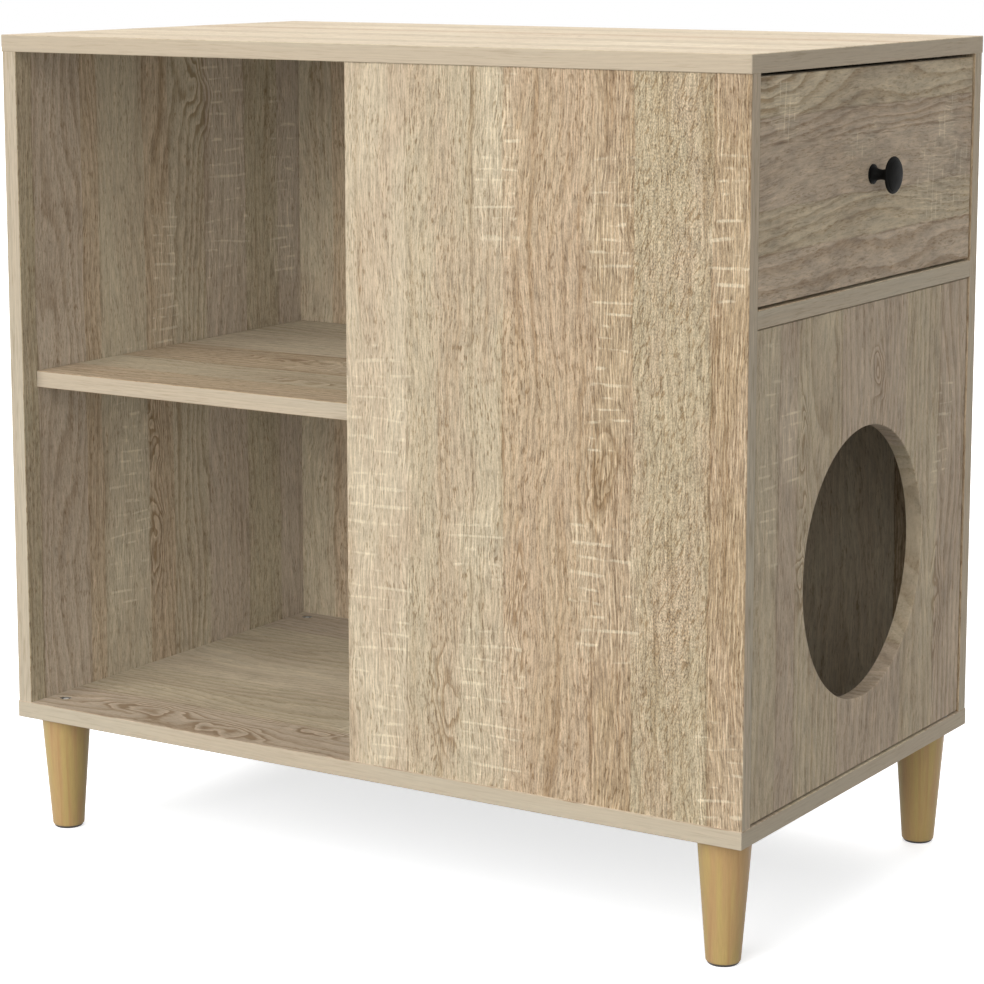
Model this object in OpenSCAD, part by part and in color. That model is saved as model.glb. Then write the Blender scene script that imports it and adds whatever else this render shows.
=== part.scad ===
// Cat house: a laminated-board cabinet on turned legs, with an open bay and a shelf on the left,
// a drawer at the top right and, below it, a cat chamber behind a pivoted door with a round hole.
// X runs along the long side, the open bay faces -Y, the drawer and the door face +X, Z is up.
// The origin is on the floor, under the middle of everything, the knob included.

/* [Body] */
// Length of the top and bottom panels
cabinet_w = 800; // [760:1:900]
// Depth of the top and bottom panels
cabinet_d = 472; // [440:1:560]
// Height from the bottom panel's underside to the top panel's face
body_h = 667; // [620:1:760]
// Thickness of the laminated boards
board_t = 16; // [15:0.5:18]
// How far the top and bottom panels stand out past the side, back and end faces
overhang = 0.6; // [0.2:0.1:2]
// How far the front panel lies behind the front edges
front_setback = 1.6; // [0.6:0.1:4]
// Bevel of the banded edges
edge_bevel = 0.6; // [0.2:0.1:1]

/* [Open bay] */
// Clear width of the open bay
bay_w = 380; // [320:1:420]
// Clear height of the bay below the shelf
lower_bay_h = 311; // [200:1:400]
// How far the shelf's edge lies behind the front edges
shelf_setback = 20; // [5:1:60]
// Play round the loose shelf
shelf_play = 0.5; // [0.3:0.1:1]
// Diameter of a shelf pin's shank
pin_d = 5; // [4:0.5:6]
// Diameter of a shelf pin's head
pin_head_d = 7; // [6.5:0.5:9]
// How far a shelf pin stands out of the wall
pin_reach = 8; // [6:0.5:12]
// Depth of a shelf pin's hole
pin_depth = 9; // [6:0.5:11]
// Distance of the shelf pins from the shelf's front and back edges
pin_inset = 42; // [25:1:80]

/* [Door] */
// Diameter of the cat's hole
hole_d = 248; // [180:1:290]
// Height of the hole's centre over the chamber floor
hole_lift = 189; // [160:1:220]
// How far the door and drawer fronts lie behind the ends of the front and back panels
face_recess = 1.2; // [0.6:0.1:3]
// Gap at each side of the door and the drawer front
side_gap = 2; // [1.8:0.1:3]
// Gap over the door
door_top_gap = 1; // [0.6:0.1:3]
// Gap under the door
door_bottom_gap = 1.5; // [1:0.1:3]
// Distance of the pivot from the door's hung edge
pivot_inset = 22; // [20:0.5:30]
// Diameter of the pivot pins
pivot_d = 8; // [6:0.5:9]
// Length of a pivot pin inside the door
pivot_grip = 22; // [15:1:30]
// Depth of a pivot bush in its board
bush_depth = 10; // [8:0.5:12]
// Wall of a pivot bush
bush_wall = 2; // [1.5:0.25:3]
// Diameter of the collar that carries the door
collar_d = 14; // [12:0.5:16]
// Length of the magnetic catch
catch_l = 46; // [30:1:60]
// Height of the magnetic catch
catch_h = 15; // [12:0.5:20]
// Depth of the magnetic catch
catch_deep = 14; // [10:0.5:20]
// Thickness of the catch's plate on the door
catch_plate_t = 1.2; // [1:0.1:2]
// Distance of the catch from the front panel
catch_inset = 24; // [10:1:60]

/* [Drawer] */
// Height of the drawer front
drawer_front_h = 189; // [150:1:230]
// Gap over the drawer front
drawer_top_gap = 3; // [1.5:0.1:5]
// Gap under the drawer front
drawer_bottom_gap = 2.5; // [1.5:0.1:5]
// Thickness of the drawer's sides and back
drawer_side_t = 12; // [10:0.5:15]
// Height of the drawer's sides
drawer_side_h = 140; // [100:1:150]
// Space between the drawer's box and the divider
drawer_back_gap = 19.6; // [8:0.1:60]
// Height of the box's lower fasteners over the lower edges of its sides
drawer_joint_rise = 35; // [30:1:45]
// Distance of the box's upper fasteners from the upper edges of its sides
drawer_joint_drop = 30; // [20:1:40]
// Thickness of the drawer's bottom
drawer_bottom_t = 3; // [3:0.5:5]
// Depth of the grooves that hold the drawer's bottom
groove_depth = 5; // [3:0.5:6]
// Height of the grooves over the sides' lower edges
groove_lift = 8; // [6:0.5:14]

/* [Runners] */
// Space between a drawer side and the cabinet wall
runner_space = 12.5; // [12.5:0.25:15]
// Thickness of the runners' steel
sheet_t = 1.2; // [1:0.1:1.4]
// Running diameter of the rollers
roller_d = 20; // [16:0.5:22]
// Width of the rollers
roller_w = 5.7; // [4.5:0.1:6]
// Diameter of the rollers' axles
axle_d = 4; // [3:0.5:5]
// Diameter of the axles' shoulders and heads
axle_head_d = 7; // [6:0.5:8]
// Length of the drawer that stays inside when it is pulled out
drawer_stay = 90; // [80:1:150]
// Length of the rail's open mouth past its roller and the drawer's
rail_mouth_play = 18; // [10:1:40]
// Height of the stop that ends the drawer's travel
stop_h = 4; // [3:0.5:5]
// Space between the runners and the deck
runner_lift = 2.7; // [1.5:0.1:6]

/* [Knob] */
// Diameter of the knob's disc
knob_d = 33; // [26:0.5:38]
// How far the knob stands out
knob_l = 25; // [20:0.5:30]
// Diameter of the knob's base
knob_base_d = 17.5; // [14:0.5:20]
// Diameter of the knob's neck
knob_neck_d = 9; // [8:0.5:12]
// Diameter of the knob's screw
knob_screw_d = 4; // [3:0.5:5]

/* [Legs] */
// Height of the turned legs without their glides
leg_h = 112; // [80:1:160]
// Diameter of a leg at its top
leg_top_d = 48; // [40:1:60]
// Diameter of a leg at its foot
leg_foot_d = 31; // [26:1:36]
// Distance of the leg axes from the edges
leg_inset = 33; // [30:0.5:60]
// Thickness of the glides
glide_t = 2; // [2:0.5:6]
// Diameter of the glides
glide_d = 28; // [20:1:28]
// Diameter of the bolts in the legs
leg_bolt_d = 8; // [6:0.5:10]
// Length of a leg bolt inside its leg
leg_bolt_grip = 34; // [25:1:45]
// Diameter of the threaded inserts in the bottom panel
insert_d = 12; // [11.5:0.5:14]

/* [Fasteners] */
// Diameter of the dowels in the cabinet
dowel_d = 8; // [6:0.5:10]
// Depth of a dowel in the face of a board
dowel_face_depth = 10; // [8:0.5:11]
// Depth of a dowel in the edge of a board
dowel_edge_depth = 20; // [15:1:25]
// Diameter of the dowels in the drawer
drawer_dowel_d = 6; // [5:0.5:8]
// Diameter of the panel screws' shanks
screw_d = 6.8; // [5:0.1:7]
// Diameter of the panel screws' heads
screw_head_d = 10; // [8:0.5:11]
// Length of the panel screws
screw_l = 50; // [40:1:60]
// Diameter of the cams that hold the top panel
cam_d = 15; // [12:0.5:15]
// Depth of the cams
cam_depth = 12; // [10:0.5:12.5]
// Distance of the cams from the top panel
cam_reach = 34; // [24:1:40]
// Distance of the dowels from the ends of a joint
dowel_inset = 60; // [56:1:75]
// Distance of the screws and cams from the ends of a joint
screw_inset = 110; // [100:1:130]
// Diameter of the small countersunk screws
small_screw_d = 3.5; // [3:0.5:4]

/* [Hidden] */
$fn = 64;

// Clearances: a piece pressed or glued into its hole, a shaft that turns, faces that pass each other
fit = 0.1;
running_fit = 0.05;
slip = 0.3;
// Overcut that carries a hole past the face it starts from
cut = 1;

// Levels of the cabinet over the floor
bottom_z = glide_t + leg_h;
floor_z = bottom_z + board_t;
top_z = bottom_z + body_h;
ceiling_z = top_z - board_t;
shelf_z = floor_z + lower_bay_h;
drawer_front_z = ceiling_z - drawer_top_gap - drawer_front_h;
deck_top = drawer_front_z - drawer_bottom_gap;
deck_z = deck_top - board_t;
panel_h = ceiling_z - floor_z;

// Lines of the cabinet's plan, from the left end and the front edge of the top panel
left_x = overhang;
bay_x = left_x + board_t;
divider_x = bay_x + bay_w;
chamber_x = divider_x + board_t;
end_x = cabinet_w - overhang;
face_x = end_x - face_recess;
inner_face_x = face_x - board_t;
side_y = overhang;
chamber_y = front_setback + board_t;
back_y = cabinet_d - overhang - board_t;
chamber_d = back_y - chamber_y;
fronts_y = chamber_y + side_gap;
fronts_d = chamber_d - 2 * side_gap;

// The door and its pivot
door_z = floor_z + door_bottom_gap;
door_h = deck_z - door_top_gap - door_z;
pivot_x = face_x - board_t / 2;
pivot_y = fronts_y + fronts_d - pivot_inset;
bush_d = pivot_d + 2 * bush_wall;
pin_seat = bush_depth - 1;
catch_y = chamber_y + catch_inset;
catch_plate_inset = 3;
catch_plate_drop = 2;
catch_plate_low = catch_h - 2;
catch_screw_y = [catch_y + catch_l / 4, catch_y + catch_l * 3 / 4];
catch_screw_l = 20;
plate_screw_l = 12;

// The runners are drawn at a wall: s from the wall to the drawer, z from the rollers' axis
roller_r = roller_d / 2;
web_drop = roller_r + 2;
flange_play = 0.8;
rail_flange_w = runner_space - sheet_t - 1.1;
runner_flange_s = sheet_t + 1.5;
shoulder_l = 1.4;
axle_head_l = 1;
rail_end_play = 2;
drawer_side_l = inner_face_x - chamber_x - drawer_back_gap;
drawer_travel = drawer_side_l - drawer_stay;
roller_end = roller_r + 2;
rail_x = inner_face_x - rail_end_play - drawer_side_l;
rail_roller_x = inner_face_x - rail_end_play - roller_end;
drawer_x = inner_face_x - drawer_side_l;
drawer_roller_x = drawer_x + roller_end;
roller_z = deck_top + runner_lift + web_drop;
stop_x = drawer_roller_x + drawer_travel + sqrt(roller_r * roller_r - pow(roller_r - stop_h, 2)) + slip;
rail_mouth = 2 * roller_end + rail_mouth_play;
runner_screw_l = 11;
runner_screw_inset = 37;
rail_screw_x = [
    rail_x + runner_screw_inset, rail_x + drawer_side_l / 2, rail_x + drawer_side_l - runner_screw_inset
];
runner_screw_x = [drawer_x + 2 * runner_screw_inset, drawer_x + drawer_side_l - 2 * runner_screw_inset];

// The drawer's box
drawer_y = chamber_y + runner_space;
drawer_w = chamber_d - 2 * runner_space;
drawer_z = roller_z - web_drop + sheet_t;
drawer_floor_z = drawer_z + groove_lift + drawer_bottom_t;
groove_play = 0.2;
drawer_joint_z = [drawer_z + drawer_joint_rise, drawer_z + drawer_side_h - drawer_joint_drop];

// The knob sits in the middle of the drawer front
knob_y = fronts_y + fronts_d / 2;
knob_z = drawer_front_z + drawer_front_h / 2;
knob_bore = 12;

// The origin is under the middle of the whole, from the left end to the knob
reach_x = face_x + knob_l;
origin = [reach_x / 2, cabinet_d / 2, 0];

// Where the fasteners sit in the plan, joint by joint
left_line = left_x + board_t / 2;
divider_line = divider_x + board_t / 2;
front_line = front_setback + board_t / 2;
back_line = back_y + board_t / 2;
left_dowels = [for (y = [side_y + dowel_inset, back_y - dowel_inset]) [left_line, y]];
divider_dowels = [for (y = [chamber_y + dowel_inset, back_y - dowel_inset]) [divider_line, y]];
front_dowels = [for (x = [divider_x + dowel_inset, end_x - dowel_inset]) [x, front_line]];
back_dowels = [for (x = [left_x + dowel_inset, cabinet_w / 2, end_x - dowel_inset]) [x, back_line]];
plan_dowels = concat(left_dowels, divider_dowels, front_dowels, back_dowels);
left_screws = [for (y = [side_y + screw_inset, back_y - screw_inset]) [left_line, y]];
divider_screws = [for (y = [chamber_y + screw_inset, back_y - screw_inset]) [divider_line, y]];
front_screws = [for (x = [divider_x + screw_inset, end_x - screw_inset]) [x, front_line]];
back_screws = [for (x = [left_x + screw_inset, end_x - screw_inset]) [x, back_line]];
plan_screws = concat(left_screws, divider_screws, front_screws, back_screws);

// Heights of the fasteners in the upright joints
upright_z = [floor_z + screw_inset, ceiling_z - screw_inset];
deck_dowel_x = [chamber_x + dowel_inset, end_x - dowel_inset];
deck_screw_x = [chamber_x + screw_inset, end_x - screw_inset];
deck_line = deck_z + board_t / 2;

// The bolts that the cams hold
cam_bolt_d = 7;
cam_bolt_neck_d = 5;
cam_bolt_thread_l = 11;
cam_bolt_end = 4;

// Where the legs stand
leg_spots = [for (y = [leg_inset, cabinet_d - leg_inset], x = [leg_inset, cabinet_w - leg_inset]) [x, y]];

// Colours
oak = [0.80, 0.73, 0.60];
pine = [0.80, 0.64, 0.40];
steel = [0.72, 0.73, 0.75];
black = [0.09, 0.09, 0.09];
nylon = [0.90, 0.90, 0.88];
beech = [0.78, 0.62, 0.42];

// Placing and shaping helpers

// Moves the cabinet's own plan onto the model's origin
module placed() {
    translate(-origin) children();
}

// Extrudes an outline drawn in Y and Z along +X
module along_x(length) {
    rotate([90, 0, 90]) linear_extrude(length) children();
}

// Extrudes an outline drawn in X and Z along +Y
module along_y(length) {
    translate([0, length, 0]) rotate([90, 0, 0]) linear_extrude(length) children();
}

// A cylinder whose axis runs along +X
module rod_x(d, length) {
    rotate([0, 90, 0]) cylinder(d = d, h = length);
}

// A cylinder whose axis runs along +Y
module rod_y(d, length) {
    rotate([-90, 0, 0]) cylinder(d = d, h = length);
}

// A rectangle with bevelled corners: near are those at its lower u, far those at its upper u
module bevelled_rect(u, v, near = true, far = true) {
    a = near ? edge_bevel : 0;
    b = far ? edge_bevel : 0;
    near_points = near ? [[0, v - a], [0, a]] : [[0, v], [0, 0]];
    far_points = far ? [[u - b, 0], [u, b], [u, v - b], [u - b, v]] : [[u, 0], [u, v]];
    start = near ? [[a, 0]] : [];
    finish = near ? [[a, v]] : [];
    polygon(concat(start, far_points, finish, near_points));
}

// A board banded on all four of its edges
module banded_board(size) {
    intersection() {
        linear_extrude(size.z) bevelled_rect(size.x, size.y);
        along_x(size.x) bevelled_rect(size.y, size.z);
        along_y(size.y) bevelled_rect(size.x, size.z);
    }
}

// Upright dowels or their holes, at one level, reaching down into the edge and up into the face
module dowel_stack(spots, z, up, play = 0) {
    down = up == 1 ? dowel_edge_depth : dowel_face_depth;
    rise = up == 1 ? dowel_face_depth : dowel_edge_depth;
    for (spot = spots)
        translate([spot.x, spot.y, z - down - play])
            cylinder(d = dowel_d + 2 * play, h = down + rise + 2 * play);
}

// All upright dowels of the cabinet, or their holes
module plan_dowel_set(spots, play = 0) {
    dowel_stack(spots, ceiling_z, 1, play);
    dowel_stack(spots, floor_z, 0, play);
}

// Dowels that join the divider and the deck to the front panel, and the deck to the divider
module cross_dowel_set(play = 0) {
    d = dowel_d + 2 * play;
    length = dowel_face_depth + dowel_edge_depth + 2 * play;
    for (z = upright_z)
        translate([divider_line, chamber_y - dowel_face_depth - play, z]) rod_y(d, length);
    for (x = deck_dowel_x)
        translate([x, chamber_y - dowel_face_depth - play, deck_line]) rod_y(d, length);
    for (y = [chamber_y + dowel_inset, back_y - dowel_inset])
        translate([chamber_x - dowel_face_depth - play, y, deck_line]) rod_x(d, length);
}

// A panel screw with its head at z = 0 and its point at z = screw_l
module panel_screw(play = 0) {
    core_d = screw_d * 0.74;
    head_l = 3;
    tip_l = 3;
    translate([0, 0, -play]) {
        cylinder(d = screw_head_d + 2 * play, h = head_l + 2 * play);
        cylinder(d = screw_d + 2 * play, h = board_t + 2 * play);
        cylinder(d = core_d + 2 * play, h = screw_l - tip_l + 2 * play);
        translate([0, 0, screw_l - tip_l + 2 * play])
            cylinder(d1 = core_d + 2 * play, d2 = core_d / 3 + 2 * play, h = tip_l);
    }
}

// Panel screws that rise through the bottom panel, or their holes
module plan_screw_set(spots, play = 0) {
    for (spot = spots)
        translate([spot.x, spot.y, bottom_z]) panel_screw(play);
}

// Panel screws that enter through the back panel, or their holes
module back_screw_set(play = 0) {
    back_face = back_y + board_t;
    for (x = [left_line, divider_line], z = upright_z)
        translate([x, back_face, z]) rotate([90, 0, 0]) panel_screw(play);
    for (x = deck_screw_x)
        translate([x, back_face, deck_line]) rotate([90, 0, 0]) panel_screw(play);
}

// A small countersunk screw: its head is flush at z = 0 and its point at z = length
module small_screw(length, play = 0) {
    head_d = 2 * small_screw_d;
    head_l = small_screw_d * 0.6;
    translate([0, 0, -play]) {
        cylinder(d1 = head_d + 2 * play, d2 = small_screw_d + 2 * play, h = head_l + play);
        cylinder(d = small_screw_d + 2 * play, h = length + 2 * play);
    }
}

// Puts a cam fitting at each of its places: z = 0 at the top panel's underside, +X into the board
module at_cams() {
    for (x = [divider_x + screw_inset, end_x - screw_inset])
        translate([x, chamber_y, ceiling_z]) rotate([0, 0, -90]) children();
    for (y = [chamber_y + screw_inset, back_y - screw_inset])
        translate([chamber_x, y, ceiling_z]) rotate([0, 0, 180]) children();
    for (x = [chamber_x + screw_inset, end_x - screw_inset])
        translate([x, back_y, ceiling_z]) rotate([0, 0, 90]) children();
}

// The pocket and the bolt's passage that a cam fitting takes out of an upright panel
module cam_pocket() {
    translate([-cut, 0, -cam_reach]) rod_x(cam_d + 2 * fit, cam_depth + fit + cut);
    translate([board_t / 2, 0, -cam_reach - cam_bolt_end - fit])
        cylinder(d = cam_bolt_d + 2 * fit, h = cam_reach + cam_bolt_end + fit + cut);
}

// Puts a runner's pieces at a chamber wall, with +Y away from it: side 0 is the front wall
module at_wall(side) {
    if (side == 0)
        translate([0, chamber_y, roller_z]) children();
    else
        translate([0, back_y, roller_z]) mirror([0, 1, 0]) children();
}

// Carcase

module top_panel() {
    color(oak) difference() {
        translate([0, 0, ceiling_z]) banded_board([cabinet_w, cabinet_d, board_t]);
        dowel_stack(plan_dowels, ceiling_z, 1, fit);
        at_cams() translate([board_t / 2, 0, -cut])
            cylinder(d = cam_bolt_d + 2 * fit, h = cut + cam_bolt_thread_l + fit);
    }
}

module bottom_panel() {
    color(oak) difference() {
        translate([0, 0, bottom_z]) banded_board([cabinet_w, cabinet_d, board_t]);
        dowel_stack(plan_dowels, floor_z, 0, fit);
        plan_screw_set(plan_screws, fit);
        for (spot = leg_spots)
            translate([spot.x, spot.y, bottom_z - cut])
                cylinder(d = insert_d + 2 * fit, h = board_t + 2 * cut);
        translate([pivot_x, pivot_y, floor_z - bush_depth - fit])
            cylinder(d = bush_d + 2 * fit, h = bush_depth + fit + cut);
    }
}

// The panel at the left end, banded along its front edge
module left_side() {
    length = back_y - side_y;
    color(oak) difference() {
        translate([left_x + board_t, side_y, floor_z])
            rotate([0, 0, 90]) linear_extrude(panel_h) bevelled_rect(length, board_t, far = false);
        plan_dowel_set(left_dowels, fit);
        plan_screw_set(left_screws, fit);
        back_screw_set(fit);
        shelf_pin_holes(bay_x, 1);
    }
}

// The panel behind the bay and the chamber, with its ends banded
module back_panel() {
    color(oak) difference() {
        translate([left_x, back_y, floor_z]) linear_extrude(panel_h) bevelled_rect(end_x - left_x, board_t);
        plan_dowel_set(back_dowels, fit);
        plan_screw_set(back_screws, fit);
        back_screw_set(fit);
        at_cams() cam_pocket();
        rail_screw_set(1, fit);
    }
}

// The closed panel on the right of the long side, with its ends banded
module front_panel() {
    color(oak) difference() {
        translate([divider_x, front_setback, floor_z])
            linear_extrude(panel_h) bevelled_rect(end_x - divider_x, board_t);
        plan_dowel_set(front_dowels, fit);
        plan_screw_set(front_screws, fit);
        cross_dowel_set(fit);
        at_cams() cam_pocket();
        rail_screw_set(0, fit);
    }
}

// The upright board between the bay and the chamber
module divider() {
    color(oak) difference() {
        translate([divider_x, chamber_y, floor_z]) cube([board_t, chamber_d, panel_h]);
        plan_dowel_set(divider_dowels, fit);
        plan_screw_set(divider_screws, fit);
        back_screw_set(fit);
        cross_dowel_set(fit);
        at_cams() cam_pocket();
        shelf_pin_holes(divider_x, 0);
    }
}

// The board under the drawer, banded along the end that shows
module drawer_deck() {
    color(oak) difference() {
        translate([chamber_x, chamber_y, deck_z])
            along_y(chamber_d) bevelled_rect(end_x - chamber_x, board_t, near = false);
        cross_dowel_set(fit);
        back_screw_set(fit);
        catch_screw_set(fit);
        translate([pivot_x, pivot_y, deck_z - cut])
            cylinder(d = bush_d + 2 * fit, h = bush_depth + fit + cut);
    }
}

// The loose shelf of the bay, banded along its front edge
module bay_shelf() {
    shelf_w = bay_w - 2 * shelf_play;
    shelf_d = back_y - shelf_play - shelf_setback;
    color(oak) translate([bay_x + shelf_play, shelf_setback, shelf_z])
        along_x(shelf_w) bevelled_rect(shelf_d, board_t, far = false);
}

// Puts something at the two shelf pins of the wall at x, with +X into the wall: side 1 is the left wall
module at_shelf_pins(x, side) {
    shelf_end = back_y - shelf_play;
    for (y = [shelf_setback + pin_inset, shelf_end - pin_inset])
        translate([x, y, shelf_z - pin_head_d / 2 - fit]) rotate([0, 0, side * 180]) children();
}

module shelf_pin_holes(x, side) {
    at_shelf_pins(x, side) translate([-cut, 0, 0]) rod_x(pin_d + 2 * fit, cut + pin_depth + fit);
}

module shelf_pins() {
    color(steel) for (wall = [[bay_x, 1], [divider_x, 0]])
        at_shelf_pins(wall[0], wall[1]) {
            rod_x(pin_d, pin_depth);
            translate([-pin_reach, 0, 0]) rod_x(pin_head_d, pin_reach);
        }
}

// Legs

// A turned, tapered leg with a softened foot and a blind hole for its bolt
module leg(spot) {
    round_r = 2;
    rim = 0.8;
    top_r = leg_top_d / 2;
    foot_r = leg_foot_d / 2;
    foot_arc = [for (a = [-90 : 15 : 0]) [foot_r - round_r + round_r * cos(a), round_r + round_r * sin(a)]];
    outline = concat([[0, 0]], foot_arc, [[top_r, leg_h - rim], [top_r - rim, leg_h], [0, leg_h]]);
    color(pine) translate([spot.x, spot.y, glide_t]) difference() {
        rotate_extrude() polygon(outline);
        translate([0, 0, leg_h - leg_bolt_grip - fit])
            cylinder(d = leg_bolt_d + 2 * fit, h = leg_bolt_grip + fit + cut);
    }
}

// Threaded inserts, let into the bottom panel from above and open at the top
module leg_inserts() {
    sunk = 0.8;
    foot = 2;
    color(steel) for (spot = leg_spots)
        translate([spot.x, spot.y, bottom_z + foot]) difference() {
            cylinder(d = insert_d, h = board_t - foot - sunk);
            translate([0, 0, -cut]) cylinder(d = leg_bolt_d + 2 * fit, h = board_t + 2 * cut);
        }
}

// Bolts that stand in the legs and show their domed ends in the bay floor
module leg_bolts() {
    sunk = 1.2;
    dome = 1.6;
    rise = board_t - sunk - dome;
    r = leg_bolt_d / 2;
    foot = -leg_bolt_grip;
    outline = [[0, foot], [r, foot], [r, rise], [r - dome, rise + dome], [0, rise + dome]];
    color(steel) for (spot = leg_spots)
        translate([spot.x, spot.y, bottom_z]) rotate_extrude() polygon(outline);
}

module leg_glides() {
    r = glide_d / 2;
    rim = 1;
    color(black) for (spot = leg_spots)
        translate([spot.x, spot.y, 0])
            rotate_extrude() polygon([[0, 0], [r - rim, 0], [r, rim], [r, glide_t], [0, glide_t]]);
}

// Fasteners of the carcase

module dowels() {
    color(beech) {
        plan_dowel_set(plan_dowels);
        cross_dowel_set();
    }
}

module panel_screws() {
    color(steel) {
        plan_screw_set(plan_screws);
        back_screw_set();
    }
}

// A cam with a cross slot in its face and a mouth for the bolt's end
module cam() {
    slot_w = 2;
    slot_l = cam_d * 0.6;
    slot_deep = 2;
    difference() {
        rod_x(cam_d, cam_depth);
        translate([board_t / 2, 0, -cam_bolt_end - fit])
            cylinder(d = cam_bolt_d + 2 * fit, h = cam_d);
        translate([-cut, -slot_l / 2, -slot_w / 2]) cube([slot_deep + cut, slot_l, slot_w]);
        translate([-cut, -slot_w / 2, -slot_l / 2]) cube([slot_deep + cut, slot_w, slot_l]);
    }
}

module cam_locks() {
    color(steel) at_cams() translate([0, 0, -cam_reach]) cam();
}

// A cam bolt: its thread in the top panel, a thinner neck and a head inside the cam
module cam_bolts() {
    color(steel) at_cams() translate([board_t / 2, 0, -cam_reach]) {
        translate([0, 0, -cam_bolt_end]) cylinder(d = cam_bolt_d, h = cam_bolt_end);
        cylinder(d = cam_bolt_neck_d, h = cam_reach);
        translate([0, 0, cam_reach - cam_bolt_end])
            cylinder(d = cam_bolt_d, h = cam_bolt_end + cam_bolt_thread_l);
    }
}

// Roller runners

// The outline of the fixed rail: a channel that is open towards the drawer
module rail_outline() {
    low = -roller_r - sheet_t;
    high = roller_r + sheet_t + flange_play + sheet_t;
    translate([0, low]) square([sheet_t, high - low]);
    translate([0, low]) square([rail_flange_w, sheet_t]);
    translate([0, high - sheet_t]) square([rail_flange_w, sheet_t]);
}

// An axle that stands out of the sheet at s = 0: a shoulder, the journal and a riveted head
module axle() {
    journal = roller_w + 2 * slip;
    rod_y(axle_head_d, shoulder_l);
    rod_y(axle_d, shoulder_l + journal + axle_head_l);
    translate([0, shoulder_l + journal, 0]) rod_y(axle_head_d, axle_head_l);
}

// A roller with softened rims and a running bore
module roller() {
    r = roller_r - slip;
    bore = axle_d / 2 + running_fit;
    rim = 0.6;
    w = roller_w;
    color(nylon) rotate([-90, 0, 0]) rotate_extrude()
        polygon([[bore, 0], [r - rim, 0], [r, rim], [r, w - rim], [r - rim, w], [bore, w]]);
}

// The rail on the cabinet wall: channel, mouth at the drawer front, stop for the drawer and axle
module rail(side) {
    stop_w = rail_flange_w - sheet_t;
    color(steel) {
        difference() {
            at_wall(side) difference() {
                translate([rail_x, 0, 0]) along_x(drawer_side_l) rail_outline();
                translate([rail_x + drawer_side_l - rail_mouth, sheet_t, roller_r])
                    cube([rail_mouth + cut, rail_flange_w, roller_d]);
            }
            rail_screw_set(side, fit);
        }
        at_wall(side) {
            translate([stop_x, sheet_t, -roller_r]) cube([sheet_t, stop_w, stop_h]);
            translate([rail_roller_x, sheet_t, 0]) axle();
        }
    }
}

// Screws through one rail into its wall, or their holes
module rail_screw_set(side, play = 0) {
    at_wall(side) for (x = rail_screw_x)
        translate([x, sheet_t, 0]) rotate([90, 0, 0]) small_screw(runner_screw_l, play);
}

module rail_screws() {
    color(steel) for (side = [0, 1]) rail_screw_set(side);
}

module rail_rollers() {
    for (side = [0, 1])
        at_wall(side) translate([rail_roller_x, sheet_t + shoulder_l + slip, 0]) roller();
}

// The outline of the runner on the drawer: it hooks under the side and runs over the rail's roller
module runner_outline() {
    web_s = runner_space - sheet_t;
    translate([web_s, -web_drop]) square([sheet_t, web_drop + roller_r + sheet_t]);
    translate([web_s, -web_drop]) square([sheet_t + drawer_side_t, sheet_t]);
    translate([runner_flange_s, roller_r]) square([runner_space - runner_flange_s, sheet_t]);
}

// The runner on the drawer, with its axle at the drawer's back end
module runner(side) {
    color(steel) {
        difference() {
            at_wall(side) translate([drawer_x, 0, 0]) along_x(drawer_side_l) runner_outline();
            runner_screw_set(side, fit);
        }
        at_wall(side) translate([drawer_roller_x, runner_space - sheet_t, 0]) mirror([0, 1, 0]) axle();
    }
}

// Screws through one runner into the drawer's side, over the groove of its bottom, or their holes
module runner_screw_set(side, play = 0) {
    z = drawer_floor_z + groove_play + small_screw_d - roller_z;
    at_wall(side) for (x = runner_screw_x)
        translate([x, runner_space - sheet_t, z]) rotate([-90, 0, 0]) small_screw(runner_screw_l, play);
}

module runner_screws() {
    color(steel) for (side = [0, 1]) runner_screw_set(side);
}

module drawer_rollers() {
    roller_s = runner_space - sheet_t - shoulder_l - slip - roller_w;
    for (side = [0, 1])
        at_wall(side) translate([drawer_roller_x, roller_s, 0]) roller();
}

// Drawer

// The groove that holds the drawer's bottom, cut into the boards round it
module bottom_groove() {
    translate([drawer_x - cut, drawer_y + drawer_side_t - groove_depth, drawer_z + groove_lift])
        cube([drawer_side_l + cut + groove_depth, drawer_w - 2 * (drawer_side_t - groove_depth),
              drawer_bottom_t + groove_play]);
}

// Dowels between the drawer's front and sides, or their holes
module drawer_dowel_set(play = 0) {
    for (y = [drawer_y + drawer_side_t / 2, drawer_y + drawer_w - drawer_side_t / 2], z = drawer_joint_z)
        translate([inner_face_x - dowel_edge_depth - play, y, z])
            rod_x(drawer_dowel_d + 2 * play, dowel_edge_depth + dowel_face_depth + 2 * play);
}

// Screws through the drawer's sides into its back, or their holes
module drawer_screw_set(play = 0) {
    length = 35;
    for (side = [0, 1], z = drawer_joint_z)
        translate([drawer_x + drawer_side_t / 2, side == 0 ? drawer_y : drawer_y + drawer_w, z])
            rotate([side == 0 ? -90 : 90, 0, 0]) small_screw(length, play);
}

module drawer_front() {
    color(oak) difference() {
        translate([inner_face_x, fronts_y, drawer_front_z])
            banded_board([board_t, fronts_d, drawer_front_h]);
        bottom_groove();
        drawer_dowel_set(fit);
        translate([inner_face_x - cut, knob_y, knob_z]) rod_x(knob_screw_d + 2 * fit, board_t + 2 * cut);
    }
}

module drawer_side(side) {
    y = side == 0 ? drawer_y : drawer_y + drawer_w - drawer_side_t;
    color(oak) difference() {
        translate([drawer_x, y, drawer_z]) cube([drawer_side_l, drawer_side_t, drawer_side_h]);
        bottom_groove();
        drawer_dowel_set(fit);
        drawer_screw_set(fit);
        runner_screw_set(side, fit);
    }
}

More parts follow.
